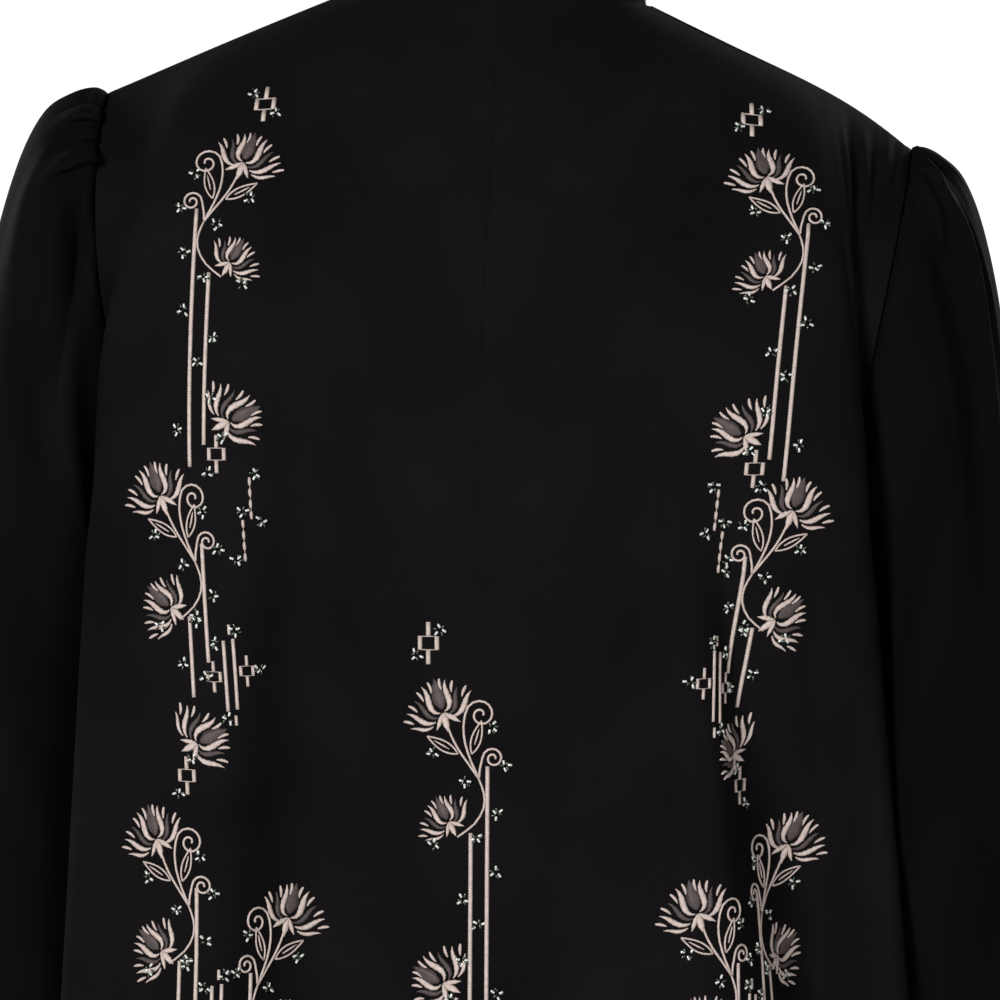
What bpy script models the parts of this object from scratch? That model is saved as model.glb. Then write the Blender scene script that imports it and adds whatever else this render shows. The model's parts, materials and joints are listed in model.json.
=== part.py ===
"""An abaya cloak as it hangs on a standing wearer: two back panels, two fronts, two sleeves and a neck band.

Metres, +Z up. The back of the cloak faces +Y, its front -Y, and the wearer's left is +X.
The origin is midway between the two neck points, where the shoulders carry the cloak.
Each piece is a grid laid on the garment's form, thickened inwards to a wall of cloth.
"""

import math

import bmesh
import bpy
from mathutils import Vector

# ---- Cloth and seams ----
CLOTH = 0.0016
SEAM_GAP = 0.0004
ARMHOLE_GAP = 0.0010
LEFT, RIGHT = 1, -1
BACK, FRONT = 1, -1
TILT = math.tan(math.radians(4.1))  # the wearer holds the right shoulder lower
TILT_FROM_Z, TILT_TO_Z = -0.25, -0.60  # the tilt fades out between these heights
SWAY, SWAY_TO_Z = 0.005, -0.30  # below this height the cloak hangs a little to the left of the shoulders

# ---- Neck, shoulders and armholes ----
NECK_HALF_WIDTH = 0.070
NECK_POINT_Y = 0.004
NECK_CENTRE = {BACK: (0.050, 0.002), FRONT: (-0.076, -0.080)}  # y and z at centre back and centre front
NECK_DIP_POWER = 1.4  # how soon the neck seam drops towards the centre
NECK_BAND_HEIGHT = 0.014
NECK_BAND_LEAN = 0.10
NECK_BAND_LIFT = 0.0010
SHOULDER_POINT = Vector((0.204, 0.0, -0.063))
UNDERARM_POINT = Vector((0.166, 0.0, -0.285))
SHOULDER_ARCH = {LEFT: 0.0, RIGHT: 0.005}  # how far the shoulder seam stands above a straight line
ARMHOLE_HALF_DEPTH = {BACK: 0.070, FRONT: 0.058}
ARMHOLE_BOW = {LEFT: 0.002, RIGHT: 0.004}
# How the armhole's course is spread between its two ends.
ARMHOLE_POWER = {LEFT: {"x": 2.2, "y": 1.2, "z": 1.35}, RIGHT: {"x": 1.45, "y": 1.2, "z": 1.35}}

# ---- Body ----
# A ring round the body is numbered from 0 at centre back to 4 at the side seam and 8 at centre front.
# Its stations are centre, middle, edge, tuck, side: the edge is the fold that stands behind the arm
# (in front, before it), and the tuck is where the cloth turns in below the arm.
SIDE = 4.0
BODY_COLUMNS = ("down", "back_y", "back_edge_x", "back_edge_y", "tuck_x", "tuck_y", "side_x",
                "front_edge_x", "front_edge_y", "front_y")
BODY_SECTIONS = (
    (0.285, 0.114, 0.201, 0.080, 0.175, 0.034, 0.166, 0.150, -0.080, -0.124),
    (0.340, 0.116, 0.204, 0.085, 0.172, 0.036, 0.158, 0.150, -0.088, -0.127),
    (0.450, 0.121, 0.210, 0.090, 0.174, 0.040, 0.157, 0.154, -0.094, -0.126),
    (0.620, 0.132, 0.219, 0.097, 0.194, 0.045, 0.172, 0.168, -0.100, -0.132),
    (0.820, 0.150, 0.228, 0.108, 0.232, 0.054, 0.220, 0.196, -0.110, -0.146),
    (1.080, 0.176, 0.242, 0.126, 0.268, 0.064, 0.266, 0.226, -0.126, -0.164),
    (1.400, 0.208, 0.256, 0.148, 0.300, 0.076, 0.308, 0.258, -0.146, -0.188),
)
UNDERARM_DOWN, HEM_DOWN = BODY_SECTIONS[0][0], BODY_SECTIONS[-1][0]
FRONT_TUCK_OUT = 0.004  # the front's tuck stands this far outside the line from its edge to the side seam
MIDDLE_SHARE = (0.56, 0.955)  # a ring's middle station, as shares of its edge's x and its centre's y
OPENING_HALF_GAP = (0.004, 0.026)  # from centre front to each front's edge, at the neck and at the hem

# How the panel lines leave the neck and shoulder: the power of the height's course, at ring stations.
DROP_POWER_AT, DROP_POWER = (0.0, 0.7, 1.8, 3.0, 4.0), (1.05, 1.45, 1.75, 1.55, 1.35)
SPREAD_POWER = 1.1
NECK_END = 0.8  # the ring place at which the neck seam turns into the shoulder seam
SHOULDER_EASE = 0.66
EDGE_PULL = {LEFT: 0.003, RIGHT: 0.010}  # how far in the edge stands on each side, from the chest down
EDGE_PULL_AT, EDGE_PULL_HALF_WIDTH, EDGE_PULL_DOWN = 2.1, 0.9, (0.19, 0.30, 0.70, 1.10)
BLADE = {"at": 1.3, "half_width": 0.8, "down": 0.17, "half_height": 0.07, "out": 0.006}

# Folds of the body, one row each. A trough has a negative depth.
FOLD_COLUMNS = ("at", "half_width", "from_down", "depth_at_hip", "depth_at_hem")
HIP_DOWN = 0.500
BODY_FOLDS = (
    (0.62, 0.26, 0.120, -0.0240, -0.036),
    (1.20, 0.28, 0.120, 0.0120, 0.032),
    (2.10, 0.34, 0.520, -0.0020, -0.028),
    (2.80, 0.36, 0.600, 0.0010, 0.024),
    (3.50, 0.34, 0.620, -0.0005, -0.022),
    (-0.72, 0.40, 0.260, 0.0050, 0.026),
    (-1.60, 0.26, 0.200, -0.0420, -0.048),
    (-2.06, 0.24, 0.160, 0.0100, 0.024),
    (-2.40, 0.30, 0.520, -0.0020, -0.026),
    (-3.02, 0.34, 0.600, 0.0010, 0.024),
    (-3.62, 0.34, 0.620, -0.0005, -0.020),
    (0.10, 0.44, 0.620, 0.0, 0.018),
    (4.25, 0.36, 0.600, 0.0010, 0.024),
    (4.95, 0.34, 0.560, -0.0010, -0.026),
    (5.60, 0.36, 0.400, 0.0040, 0.026),
    (6.30, 0.38, 0.260, -0.0070, -0.032),
    (7.00, 0.38, 0.360, 0.0040, 0.024),
    (7.62, 0.30, 0.620, -0.0010, -0.016),
    (-4.30, 0.34, 0.600, 0.0010, 0.022),
    (-5.02, 0.34, 0.540, -0.0010, -0.026),
    (-5.74, 0.38, 0.380, 0.0040, 0.028),
    (-6.46, 0.38, 0.300, -0.0060, -0.030),
    (-7.16, 0.36, 0.400, 0.0030, 0.022),
)

# ---- Sleeves ----
# A sleeve ring's outer end is measured from the shoulder point and its inner end from the underarm point.
# "stage" runs from 0 at the armhole to 1 at the cuff.
SLEEVE_COLUMNS = ("stage", "outer_x", "outer_z", "inner_x", "inner_z", "half_depth", "centre_y")
SLEEVE_SECTIONS = (
    (0.00, 0.000, 0.000, 0.000, 0.000, 0.064, 0.006),
    (0.04, 0.007, 0.003, 0.003, -0.010, 0.068, 0.006),
    (0.09, 0.019, -0.001, 0.008, -0.020, 0.071, 0.005),
    (0.15, 0.033, -0.012, 0.014, -0.030, 0.072, 0.001),
    (0.22, 0.046, -0.038, 0.020, -0.046, 0.072, -0.004),
    (0.31, 0.059, -0.084, 0.024, -0.070, 0.071, -0.009),
    (0.42, 0.070, -0.150, 0.026, -0.106, 0.069, -0.014),
    (0.55, 0.078, -0.240, 0.028, -0.158, 0.067, -0.018),
    (0.70, 0.082, -0.348, 0.031, -0.220, 0.064, -0.024),
    (0.85, 0.082, -0.458, 0.034, -0.290, 0.061, -0.030),
    (1.00, 0.078, -0.560, 0.042, -0.352, 0.056, -0.040),
)
SLEEVE_HEAD_HALF_DEPTH = SLEEVE_SECTIONS[0][5]
SLEEVE_SPREAD = {LEFT: 1.0, RIGHT: 0.82}  # the right sleeve stands out less
HELD_BACK, HELD_IN = {LEFT: 0.0, RIGHT: 0.040}, {LEFT: 0.0, RIGHT: 0.016}  # how far one sleeve hangs back and in
HELD_STAGES = (0.14, 0.60)
ROUND_STAGE = 0.30  # from here on a sleeve ring is a plain ellipse
SLEEVE_ROW_POWER = 1.45

# Each pleat rises away from the head, then drops at its lower edge, and laps over the next one.
# Its edges are distances along the armhole seam, and it dies away between two stages.
PLEAT_COLUMNS = ("upper", "lower", "height", "full_stage", "gone_stage")
PLEATS = {
    LEFT: (
        (0.004, 0.018, 0.0042, 0.015, 0.06),
        (0.018, 0.031, 0.0066, 0.03, 0.14),
        (0.031, 0.044, 0.0046, 0.02, 0.08),
        (0.044, 0.061, 0.0070, 0.04, 0.17),
    ),
    RIGHT: (
        (0.004, 0.011, 0.0018, 0.06, 0.20),
        (0.011, 0.028, 0.0024, 0.20, 0.60),
        (0.028, 0.0375, 0.0026, 0.02, 0.09),
        (0.0375, 0.052, 0.0020, 0.02, 0.10),
    ),
}
PLEAT_CREST = 0.82  # where a pleat is highest, as a share of its width
PLEAT_RISE_STAGE = 0.035  # a pleat stands up between the seam and here

# Long folds of the sleeves. "at" runs from 0 at the head to 1 at the underarm seam, negative in front.
SLEEVE_FOLD_COLUMNS = ("at", "half_width", "from_stage", "full_stage", "to_stage", "depth")
SLEEVE_FOLDS = {
    LEFT: (
        (0.43, 0.10, 0.005, 0.07, 0.32, -0.0110),
        (0.30, 0.07, 0.04, 0.14, 0.55, 0.0060),
        (0.60, 0.08, 0.08, 0.20, 0.60, 0.0080),
        (0.72, 0.08, 0.25, 0.60, 1.30, -0.0050),
        (-0.32, 0.11, 0.10, 0.30, 0.80, -0.0075),
        (-0.54, 0.10, 0.14, 0.40, 0.95, 0.0055),
        (-0.70, 0.09, 0.35, 0.70, 1.30, -0.0050),
        (-0.16, 0.08, 0.45, 0.75, 1.20, 0.0045),
    ),
    RIGHT: (
        (0.28, 0.06, 0.05, 0.18, 0.60, -0.0070),
        (0.44, 0.09, 0.08, 0.26, 0.90, 0.0060),
        (0.12, 0.07, 0.30, 0.60, 1.20, 0.0040),
        (0.70, 0.08, 0.30, 0.60, 1.30, -0.0055),
        (-0.28, 0.11, 0.10, 0.30, 0.80, -0.0070),
        (-0.50, 0.10, 0.14, 0.40, 0.95, 0.0055),
        (-0.72, 0.09, 0.35, 0.70, 1.30, -0.0050),
    ),
}

# ---- Grid counts ----
PANEL_COLUMNS = {BACK: 24, FRONT: 20}
NECK_COLUMNS = 6  # of them, from the centre line to the neck point
YOKE_ROWS, SKIRT_ROWS = 12, 12
SKIRT_ROW_POWER = 1.12  # the skirt's rows stand closer at the underarm

# Metres between whole numbers, where the seams' gaps are set: on a ring at its centre and by the armhole,
# and between stages at the sleeve's head.
CENTRE_STEP, SIDE_STEP, STAGE_STEP = 0.11, 0.08, 0.12
TOP_MARGIN = (15.0, 40.0)  # yoke rows for each metre of gap, at the centre line and at the armhole
SLEEVE_ROWS = 20
PLEAT_PARTS = (0.0, 0.35, 0.70, PLEAT_CREST)
PLAIN_SLEEVE_COLUMNS = 7  # on each half of a sleeve, past its pleats
SEAM_SAMPLES = 400
NECK_BAND_COLUMNS = 36

STEP = 0.01  # between the two places that give a surface's direction
BLACK_CREPE = {"Base Color": (0.0068, 0.0060, 0.0064, 1.0), "Roughness": 0.85, "Metallic": 0.0}


def smooth_step(value):
    """0 below 0, 1 above 1, and level at both ends."""
    value = min(1.0, max(0.0, value))
    return value * value * (3.0 - 2.0 * value)


def blend(first, second, share):
    return first + (second - first) * share


def bump(offset, half_width):
    """A smooth hump: 1 in its middle, a half at half_width, nothing from twice that."""
    share = abs(offset) / (2.0 * half_width)
    return 0.5 + 0.5 * math.cos(math.pi * share) if share < 1.0 else 0.0


def curve_through(keys, values, at):
    """A smooth curve through the values at rising keys, read at one place."""
    last = len(keys) - 1
    at = min(max(at, keys[0]), keys[last])
    cell = max(i for i in range(last) if keys[i] <= at)
    before, after = max(cell - 1, 0), min(cell + 2, last)
    span = keys[cell + 1] - keys[cell]
    slope_in = (values[cell + 1] - values[before]) / (keys[cell + 1] - keys[before])
    slope_out = (values[after] - values[cell]) / (keys[after] - keys[cell])
    t = (at - keys[cell]) / span
    return ((2 * t**3 - 3 * t**2 + 1) * values[cell] + (t**3 - 2 * t**2 + t) * span * slope_in
            + (3 * t**2 - 2 * t**3) * values[cell + 1] + (t**3 - t**2) * span * slope_out)


def table_at(columns, rows, key):
    """Every named column of a table, at one value of its first column."""
    keys = [row[0] for row in rows]
    return {name: curve_through(keys, [row[i] for row in rows], key) for i, name in enumerate(columns)}


def posed(point):
    """The point, moved by the tilt of the shoulders and the sway below them."""
    fade = 1.0 - smooth_step((TILT_FROM_Z - point.z) / (TILT_FROM_Z - TILT_TO_Z))
    sway = SWAY * smooth_step(point.z / SWAY_TO_Z)
    return Vector((point.x + sway, point.y, point.z + point.x * TILT * fade))


# ---- Seams of the upper body, on the left half: x is mirrored later ----


def armhole(side, face, share):
    """The armhole seam from the shoulder point down to the underarm point, behind or before the arm."""
    power = ARMHOLE_POWER[side]
    bow = ARMHOLE_BOW[side] * math.sin(math.pi * share)
    return Vector((
        blend(SHOULDER_POINT.x, UNDERARM_POINT.x, share**power["x"]) + bow,
        face * ARMHOLE_HALF_DEPTH[face] * math.sin(math.pi * share**power["y"]),
        blend(SHOULDER_POINT.z, UNDERARM_POINT.z, share**power["z"]),
    ))


def neck_seam(face, share):
    """The neck seam from centre back or centre front round to the neck point."""
    centre_y, centre_z = NECK_CENTRE[face]
    turn = share * math.pi / 2
    return Vector((NECK_HALF_WIDTH * math.sin(turn),
                   blend(NECK_POINT_Y, centre_y, math.cos(turn)),
                   centre_z * math.cos(turn)**NECK_DIP_POWER))


def shoulder_seam(side, share):
    """The shoulder seam from the neck point to the shoulder point."""
    point = Vector((NECK_HALF_WIDTH, NECK_POINT_Y, 0.0)).lerp(SHOULDER_POINT, share)
    point.z += SHOULDER_ARCH[side] * math.sin(math.pi * share**2)
    return point


def top_edge(side, face, at):
    """A panel's top edge: the neck seam, then the shoulder seam."""
    if at <= NECK_END:
        return neck_seam(face, at / NECK_END)
    return shoulder_seam(side, ((at - NECK_END) / (SIDE - NECK_END))**SHOULDER_EASE)


# ---- The body's form ----


def ring_point(face, down, at):
    """A point of the body's smooth horizontal ring, at 0 on the centre line to 4 on the side seam."""
    row = table_at(BODY_COLUMNS, BODY_SECTIONS, down)
    back = ((0.0, row["back_y"]),
            (row["back_edge_x"] * MIDDLE_SHARE[0], row["back_y"] * MIDDLE_SHARE[1]),
            (row["back_edge_x"], row["back_edge_y"]),
            (row["tuck_x"], row["tuck_y"]))
    front = ((0.0, row["front_y"]),
             (row["front_edge_x"] * MIDDLE_SHARE[0], row["front_y"] * MIDDLE_SHARE[1]),
             (row["front_edge_x"], row["front_edge_y"]),
             ((row["front_edge_x"] + row["side_x"]) / 2 + FRONT_TUCK_OUT, row["front_edge_y"] / 2))
    near, far = (back, front) if face == BACK else (front, back)
    stations = [(-near[1][0], near[1][1]), *near, (row["side_x"], 0.0), far[3]]
    keys = range(-1, len(stations) - 1)
    x = curve_through(keys, [station[0] for station in stations], at)
    y = curve_through(keys, [station[1] for station in stations], at)
    return Vector((x, y, -down))


def yoke_line(side, face, at, share):
    """One line down the upper body, from the top edge to the underarm ring, leaving the armhole aside."""
    top, foot = top_edge(side, face, at), ring_point(face, UNDERARM_DOWN, at)
    drop = curve_through(DROP_POWER_AT, DROP_POWER, at)
    return Vector((blend(top.x, foot.x, share**SPREAD_POWER),
                   blend(top.y, foot.y, math.sin(share * math.pi / 2)),
                   blend(top.z, foot.z, share**drop)))


def body_base(side, face, at, row):
    """The body without its folds. row runs 0 to 1 down to the underarm and 1 to 2 down to the hem."""
    if row > 1.0:
        return ring_point(face, blend(UNDERARM_DOWN, HEM_DOWN, row - 1.0), at)
    pull = (at / SIDE)**2
    stray = armhole(side, face, row) - yoke_line(side, face, SIDE, row)
    point = yoke_line(side, face, at, row) + stray * pull
    blade = bump(at - BLADE["at"], BLADE["half_width"]) * bump(-point.z - BLADE["down"], BLADE["half_height"])
    point.y += face * BLADE["out"] * blade
    return point


def fold_depth(ring_at, down):
    """How far the folds move the cloth outwards at a place on a ring."""
    total = 0.0
    for row in BODY_FOLDS:
        fold = dict(zip(FOLD_COLUMNS, row))
        start = fold["from_down"]
        if down <= start:
            continue
        to_hip = smooth_step((down - start) / (HIP_DOWN - start)) if start < HIP_DOWN else 1.0
        start = max(start, HIP_DOWN)
        to_hem = smooth_step((down - start) / (HEM_DOWN - start))
        depth = blend(fold["depth_at_hip"] * to_hip, fold["depth_at_hem"], to_hem)
        total += depth * bump(ring_at - fold["at"], fold["half_width"])
    return total


def body_point(side, face, at, row):
    """A point of the body's outer face."""
    point = body_base(side, face, at, row)
    down = max(-point.z, UNDERARM_DOWN)
    along = ring_point(face, down, at + STEP) - ring_point(face, down, at - STEP)
    out = face * Vector((-along.y, along.x, 0.0)).normalized()
    ring_at = side * (at if face == BACK else 2 * SIDE - at)
    point += out * fold_depth(ring_at, -point.z)
    if face == BACK:
        start, full, still, gone = EDGE_PULL_DOWN
        taken_in = smooth_step((-point.z - start) / (full - start))
        let_out = smooth_step((-point.z - still) / (gone - still))
        point.x -= EDGE_PULL[side] * (taken_in - let_out) * bump(at - EDGE_PULL_AT, EDGE_PULL_HALF_WIDTH)
    if face == FRONT:
        hang = smooth_step((NECK_CENTRE[FRONT][1] - point.z) / (NECK_CENTRE[FRONT][1] + HEM_DOWN))
        point.x += blend(*OPENING_HALF_GAP, hang) * (1.0 - at / SIDE)
    point.x *= side
    return posed(point)


# ---- The sleeves' form ----


def sleeve_base(side, stage, around):
    """A sleeve ring without folds. around is 0 at the head and 1 at the underarm seam, negative in front."""
    face = BACK if around >= 0 else FRONT
    share = min(abs(around), 1.0)
    row = table_at(SLEEVE_COLUMNS, SLEEVE_SECTIONS, stage)
    outer = SHOULDER_POINT + Vector((row["outer_x"] * SLEEVE_SPREAD[side], 0.0, row["outer_z"]))
    held = smooth_step((stage - HELD_STAGES[0]) / (HELD_STAGES[1] - HELD_STAGES[0]))
    inner = UNDERARM_POINT + Vector((row["inner_x"] - HELD_IN[side] * held, 0.0, row["inner_z"]))
    turn = math.pi * share
    half_turn = (1.0 - math.cos(turn)) / 2
    round_point = outer.lerp(inner, half_turn)
    round_point.y = row["centre_y"] + HELD_BACK[side] * held + face * row["half_depth"] * math.sin(turn)
    fitted_depth = ARMHOLE_HALF_DEPTH[face] + row["half_depth"] - SLEEVE_HEAD_HALF_DEPTH
    power = ARMHOLE_POWER[side]
    fitted_point = Vector((blend(outer.x, inner.x, share**power["x"]) + ARMHOLE_BOW[side] * math.sin(turn),
                           face * fitted_depth * math.sin(math.pi * share**power["y"]),
                           blend(outer.z, inner.z, share**power["z"])))
    return fitted_point.lerp(round_point, smooth_step(stage / ROUND_STAGE))


def seam_distance(side, around, steps=12):
    """Distance along the armhole seam from the shoulder point."""
    face = BACK if around >= 0 else FRONT
    stops = [armhole(side, face, abs(around) * i / steps) for i in range(steps + 1)]
    return sum((after - before).length for before, after in zip(stops, stops[1:]))


def pleat_depth(side, stage, distance):
    """How far the lapped pleats lift the cloth across the sleeve head."""
    for row in PLEATS[side]:
        pleat = dict(zip(PLEAT_COLUMNS, row))
        share = (distance - pleat["upper"]) / (pleat["lower"] - pleat["upper"])
        if 0.0 <= share < 1.0:
            full, gone = pleat["full_stage"], pleat["gone_stage"]
            sunk = smooth_step((stage - full) / (gone - full))
            standing = smooth_step(stage / PLEAT_RISE_STAGE) * (1.0 - sunk)
            slope = share / PLEAT_CREST if share < PLEAT_CREST else (1.0 - share) / (1.0 - PLEAT_CREST)
            return pleat["height"] * standing * slope
    return 0.0


def sleeve_fold_depth(side, stage, around):
    """How far the long folds move a sleeve's cloth outwards."""
    total = 0.0
    for row in SLEEVE_FOLDS[side]:
        fold = dict(zip(SLEEVE_FOLD_COLUMNS, row))
        full = fold["full_stage"]
        grown = smooth_step((stage - fold["from_stage"]) / (full - fold["from_stage"]))
        left = 1.0 - smooth_step((stage - full) / (fold["to_stage"] - full))
        total += fold["depth"] * grown * left * bump(around - fold["at"], fold["half_width"])
    return total


def sleeve_point(side, stage, around, distance):
    """A point of a sleeve's outer face, with its pleats and long folds."""
    point = sleeve_base(side, stage, around)
    depth = pleat_depth(side, stage, distance) + sleeve_fold_depth(side, stage, around)
    if depth:
        before = max(stage - STEP, 0.0)
        round_step = sleeve_base(side, stage, around + STEP) - sleeve_base(side, stage, around - STEP)
        stage_step = sleeve_base(side, stage + STEP, around) - sleeve_base(side, before, around)
        point += stage_step.cross(round_step).normalized() * depth
    point.x *= side
    return posed(point)


# ---- Making the pieces ----


def crepe_material():
    material = bpy.data.materials.new("black_crepe")
    material.use_nodes = True
    shader = material.node_tree.nodes["Principled BSDF"]
    for socket, value in BLACK_CREPE.items():
        shader.inputs[socket].default_value = value
    return material


def cloth_piece(name, columns, rows, place, flip, closed=False):
    """A wall of cloth on place(u, v), with u and v from 0 to 1. The wall grows inwards from that face."""
    sheet = bmesh.new()
    bmesh.ops.create_grid(sheet, x_segments=columns, y_segments=rows, size=1.0)
    for vert in sheet.verts:
        vert.co = place((vert.co.x + 1.0) / 2, (vert.co.y + 1.0) / 2)
    if closed:
        bmesh.ops.remove_doubles(sheet, verts=sheet.verts, dist=1e-6)
    if flip:
        bmesh.ops.reverse_faces(sheet, faces=sheet.faces)
    mesh = bpy.data.meshes.new(name)
    sheet.to_mesh(mesh)
    sheet.free()
    mesh.shade_smooth()
    mesh.materials.append(crepe_material())
    piece = bpy.data.objects.new(name, mesh)
    bpy.context.scene.collection.objects.link(piece)
    wall = piece.modifiers.new("wall", "SOLIDIFY")
    wall.thickness = CLOTH
    wall.offset = -1.0
    wall.use_even_offset = True
    return piece


def body_panel(name, side, face):
    """Half of the back, or one front, from the neck and shoulder to the hem."""
    rows = YOKE_ROWS + SKIRT_ROWS
    centre_margin = SEAM_GAP / 2 / CENTRE_STEP if face == BACK else 0.0
    side_margin = ARMHOLE_GAP / 2 / SIDE_STEP

    def place(u, v):
        column, step = u * PANEL_COLUMNS[face], v * rows
        if column <= NECK_COLUMNS:
            at = blend(centre_margin, NECK_END, column / NECK_COLUMNS)
        else:
            past_neck = (column - NECK_COLUMNS) / (PANEL_COLUMNS[face] - NECK_COLUMNS)
            at = blend(NECK_END, SIDE - side_margin, past_neck)
        if step <= YOKE_ROWS:
            top_margin = SEAM_GAP * blend(*TOP_MARGIN, at / SIDE)
            return body_point(side, face, at, blend(top_margin, 1.0, step / YOKE_ROWS))
        return body_point(side, face, at, 1.0 + ((step - YOKE_ROWS) / SKIRT_ROWS)**SKIRT_ROW_POWER)

    return cloth_piece(name, PANEL_COLUMNS[face], rows, place, flip=side * face < 0)


def sleeve_stops(side):
    """Where a sleeve's lengthwise lines meet the armhole: along every pleat, then evenly to the underarm."""
    edges = [row[:2] for row in PLEATS[side]]
    halves = {}
    for face in (BACK, FRONT):
        shares = [i / SEAM_SAMPLES for i in range(1, SEAM_SAMPLES + 1)]
        samples = [(share, seam_distance(side, face * share)) for share in shares]

        def share_at(distance):
            return next(share for share, reached in samples if reached >= distance)

        half = [share_at(blend(upper, lower, part)) for upper, lower in edges for part in PLEAT_PARTS]
        last = share_at(edges[-1][1])
        half += [blend(last, 1.0, i / PLAIN_SLEEVE_COLUMNS) for i in range(PLAIN_SLEEVE_COLUMNS + 1)]
        halves[face] = half
    return [-share for share in reversed(halves[FRONT])] + halves[BACK]


def sleeve(name, side):
    """One sleeve, a tube from the armhole seam to the cuff."""
    stops = sleeve_stops(side)
    distances = [seam_distance(side, stop) for stop in stops]
    seam_stage = ARMHOLE_GAP / 2 / STAGE_STEP

    def place(u, v):
        index = round(u * (len(stops) - 1))
        stage = blend(seam_stage, 1.0, v**SLEEVE_ROW_POWER)
        return sleeve_point(side, stage, stops[index], distances[index])

    return cloth_piece(name, len(stops) - 1, SLEEVE_ROWS, place, flip=side > 0, closed=True)


def neck_band(name):
    """The narrow stand round the neck, open at centre front."""

    def place(u, v):
        turn = 2 * (2 * u - 1)
        side = LEFT if turn >= 0 else RIGHT
        reach = abs(turn)
        if reach <= 1.0:
            seat = neck_seam(BACK, reach)
        else:
            seat = neck_seam(FRONT, 2.0 - reach)
            seat.x += OPENING_HALF_GAP[0] * (reach - 1.0)
        seat.x *= side
        seat.x -= seat.x * NECK_BAND_LEAN * v
        seat.y -= seat.y * NECK_BAND_LEAN * v
        seat.z += NECK_BAND_LIFT + NECK_BAND_HEIGHT * v
        return posed(seat)

    return cloth_piece(name, NECK_BAND_COLUMNS, 2, place, flip=True)


def main():
    for old in list(bpy.data.objects):
        bpy.data.objects.remove(old)
    for side, word in ((LEFT, "left"), (RIGHT, "right")):
        body_panel(f"back_{word}", side, BACK)
        body_panel(f"front_{word}", side, FRONT)
        sleeve(f"sleeve_{word}", side)
    neck_band("neck_band")


main()
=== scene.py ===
# %% [markdown]
# # A black crepe abaya, embroidered down its back
#
# An abaya is a long open cloak that hangs from the shoulders. This one is cut in seven pieces: two back
# panels joined down the middle, two fronts that meet edge to edge, two sleeves pleated into the armholes, and
# a narrow band round the neck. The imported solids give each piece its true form. This lesson replaces each one
# with thin cloth that has its fine creases, seams and weave, and then lays the embroidery on the back.

# %% Tools and frame
import json
import math
from functools import lru_cache

import bmesh
import bpy
import numpy as np
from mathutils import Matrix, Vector

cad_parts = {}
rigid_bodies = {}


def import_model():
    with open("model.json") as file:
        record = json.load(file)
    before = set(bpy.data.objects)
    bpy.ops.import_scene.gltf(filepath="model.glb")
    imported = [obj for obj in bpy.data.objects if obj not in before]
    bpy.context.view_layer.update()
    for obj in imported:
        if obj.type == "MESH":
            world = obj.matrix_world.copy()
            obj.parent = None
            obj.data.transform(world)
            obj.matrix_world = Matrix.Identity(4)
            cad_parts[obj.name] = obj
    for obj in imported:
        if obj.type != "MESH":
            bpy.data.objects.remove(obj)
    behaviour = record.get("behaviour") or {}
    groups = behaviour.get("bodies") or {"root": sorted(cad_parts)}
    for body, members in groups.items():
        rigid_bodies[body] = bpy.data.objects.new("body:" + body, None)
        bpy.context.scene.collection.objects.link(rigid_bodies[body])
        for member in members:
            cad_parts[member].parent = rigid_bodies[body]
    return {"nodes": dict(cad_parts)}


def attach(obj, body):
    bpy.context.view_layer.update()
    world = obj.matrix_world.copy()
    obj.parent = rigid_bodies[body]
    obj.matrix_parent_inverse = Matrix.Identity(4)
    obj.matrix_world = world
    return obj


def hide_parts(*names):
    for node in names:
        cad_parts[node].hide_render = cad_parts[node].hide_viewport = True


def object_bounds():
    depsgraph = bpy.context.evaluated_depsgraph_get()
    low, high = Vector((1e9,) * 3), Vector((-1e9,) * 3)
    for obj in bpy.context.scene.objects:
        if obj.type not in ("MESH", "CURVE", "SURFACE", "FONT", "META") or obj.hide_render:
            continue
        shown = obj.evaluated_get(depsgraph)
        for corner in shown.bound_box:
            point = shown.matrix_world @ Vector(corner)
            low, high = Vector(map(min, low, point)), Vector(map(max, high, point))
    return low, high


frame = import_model()
cad_box = [list(corner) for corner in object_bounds()]
print("frame:", sorted(frame["nodes"]))

# %% [markdown]
# ## The camera
#
# The view is from behind, a few degrees round to the wearer's right, and close in on the upper body. A long
# lens from 3.5 m away keeps the two shoulders the same size. The lens follows from the width of cloth that
# should fill the picture, so that the sizes in the script stay real ones.

# %% Camera
VIEW_AZIMUTH, VIEW_ELEVATION = 186.0, 3.0  # degrees; 180 looks straight at the back
VIEW_DISTANCE = 3.5
VIEW_WIDTH = 0.5  # metres across the picture, at the target
VIEW_TARGET = Vector((-0.0015, 0.06, -0.2535))

turn, rise = math.radians(VIEW_AZIMUTH), math.radians(VIEW_ELEVATION)
towards_camera = Vector((math.sin(turn) * math.cos(rise), -math.cos(turn) * math.cos(rise), math.sin(rise)))


def placed(name, data):
    """A new object in the scene."""
    piece = bpy.data.objects.new(name, data)
    bpy.context.scene.collection.objects.link(piece)
    return piece


camera_data = bpy.data.cameras.new("camera")
camera_data.lens = camera_data.sensor_width * VIEW_DISTANCE / VIEW_WIDTH
camera = placed("camera", camera_data)
camera.location = VIEW_TARGET + towards_camera * VIEW_DISTANCE
camera.rotation_euler = towards_camera.to_track_quat("Z", "Y").to_euler()
bpy.context.scene.camera = camera
bpy.context.scene.view_settings.view_transform = "Standard"
print(f"camera: {camera_data.lens:.0f} mm lens")

# %% [markdown]
# ## Floor and light
#
# Black cloth shows its form only by what it reflects, so one large soft light stands to the left of the
# camera and rakes the folds, and a weaker one opens the shadows from the right. Two more do the same for the
# fronts. None is small enough to leave a hard spot. The world is white to the camera, as a paper backdrop
# would be, but lights the cloth less than it shows, because the even light of a white room would wash the
# folds out.

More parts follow.
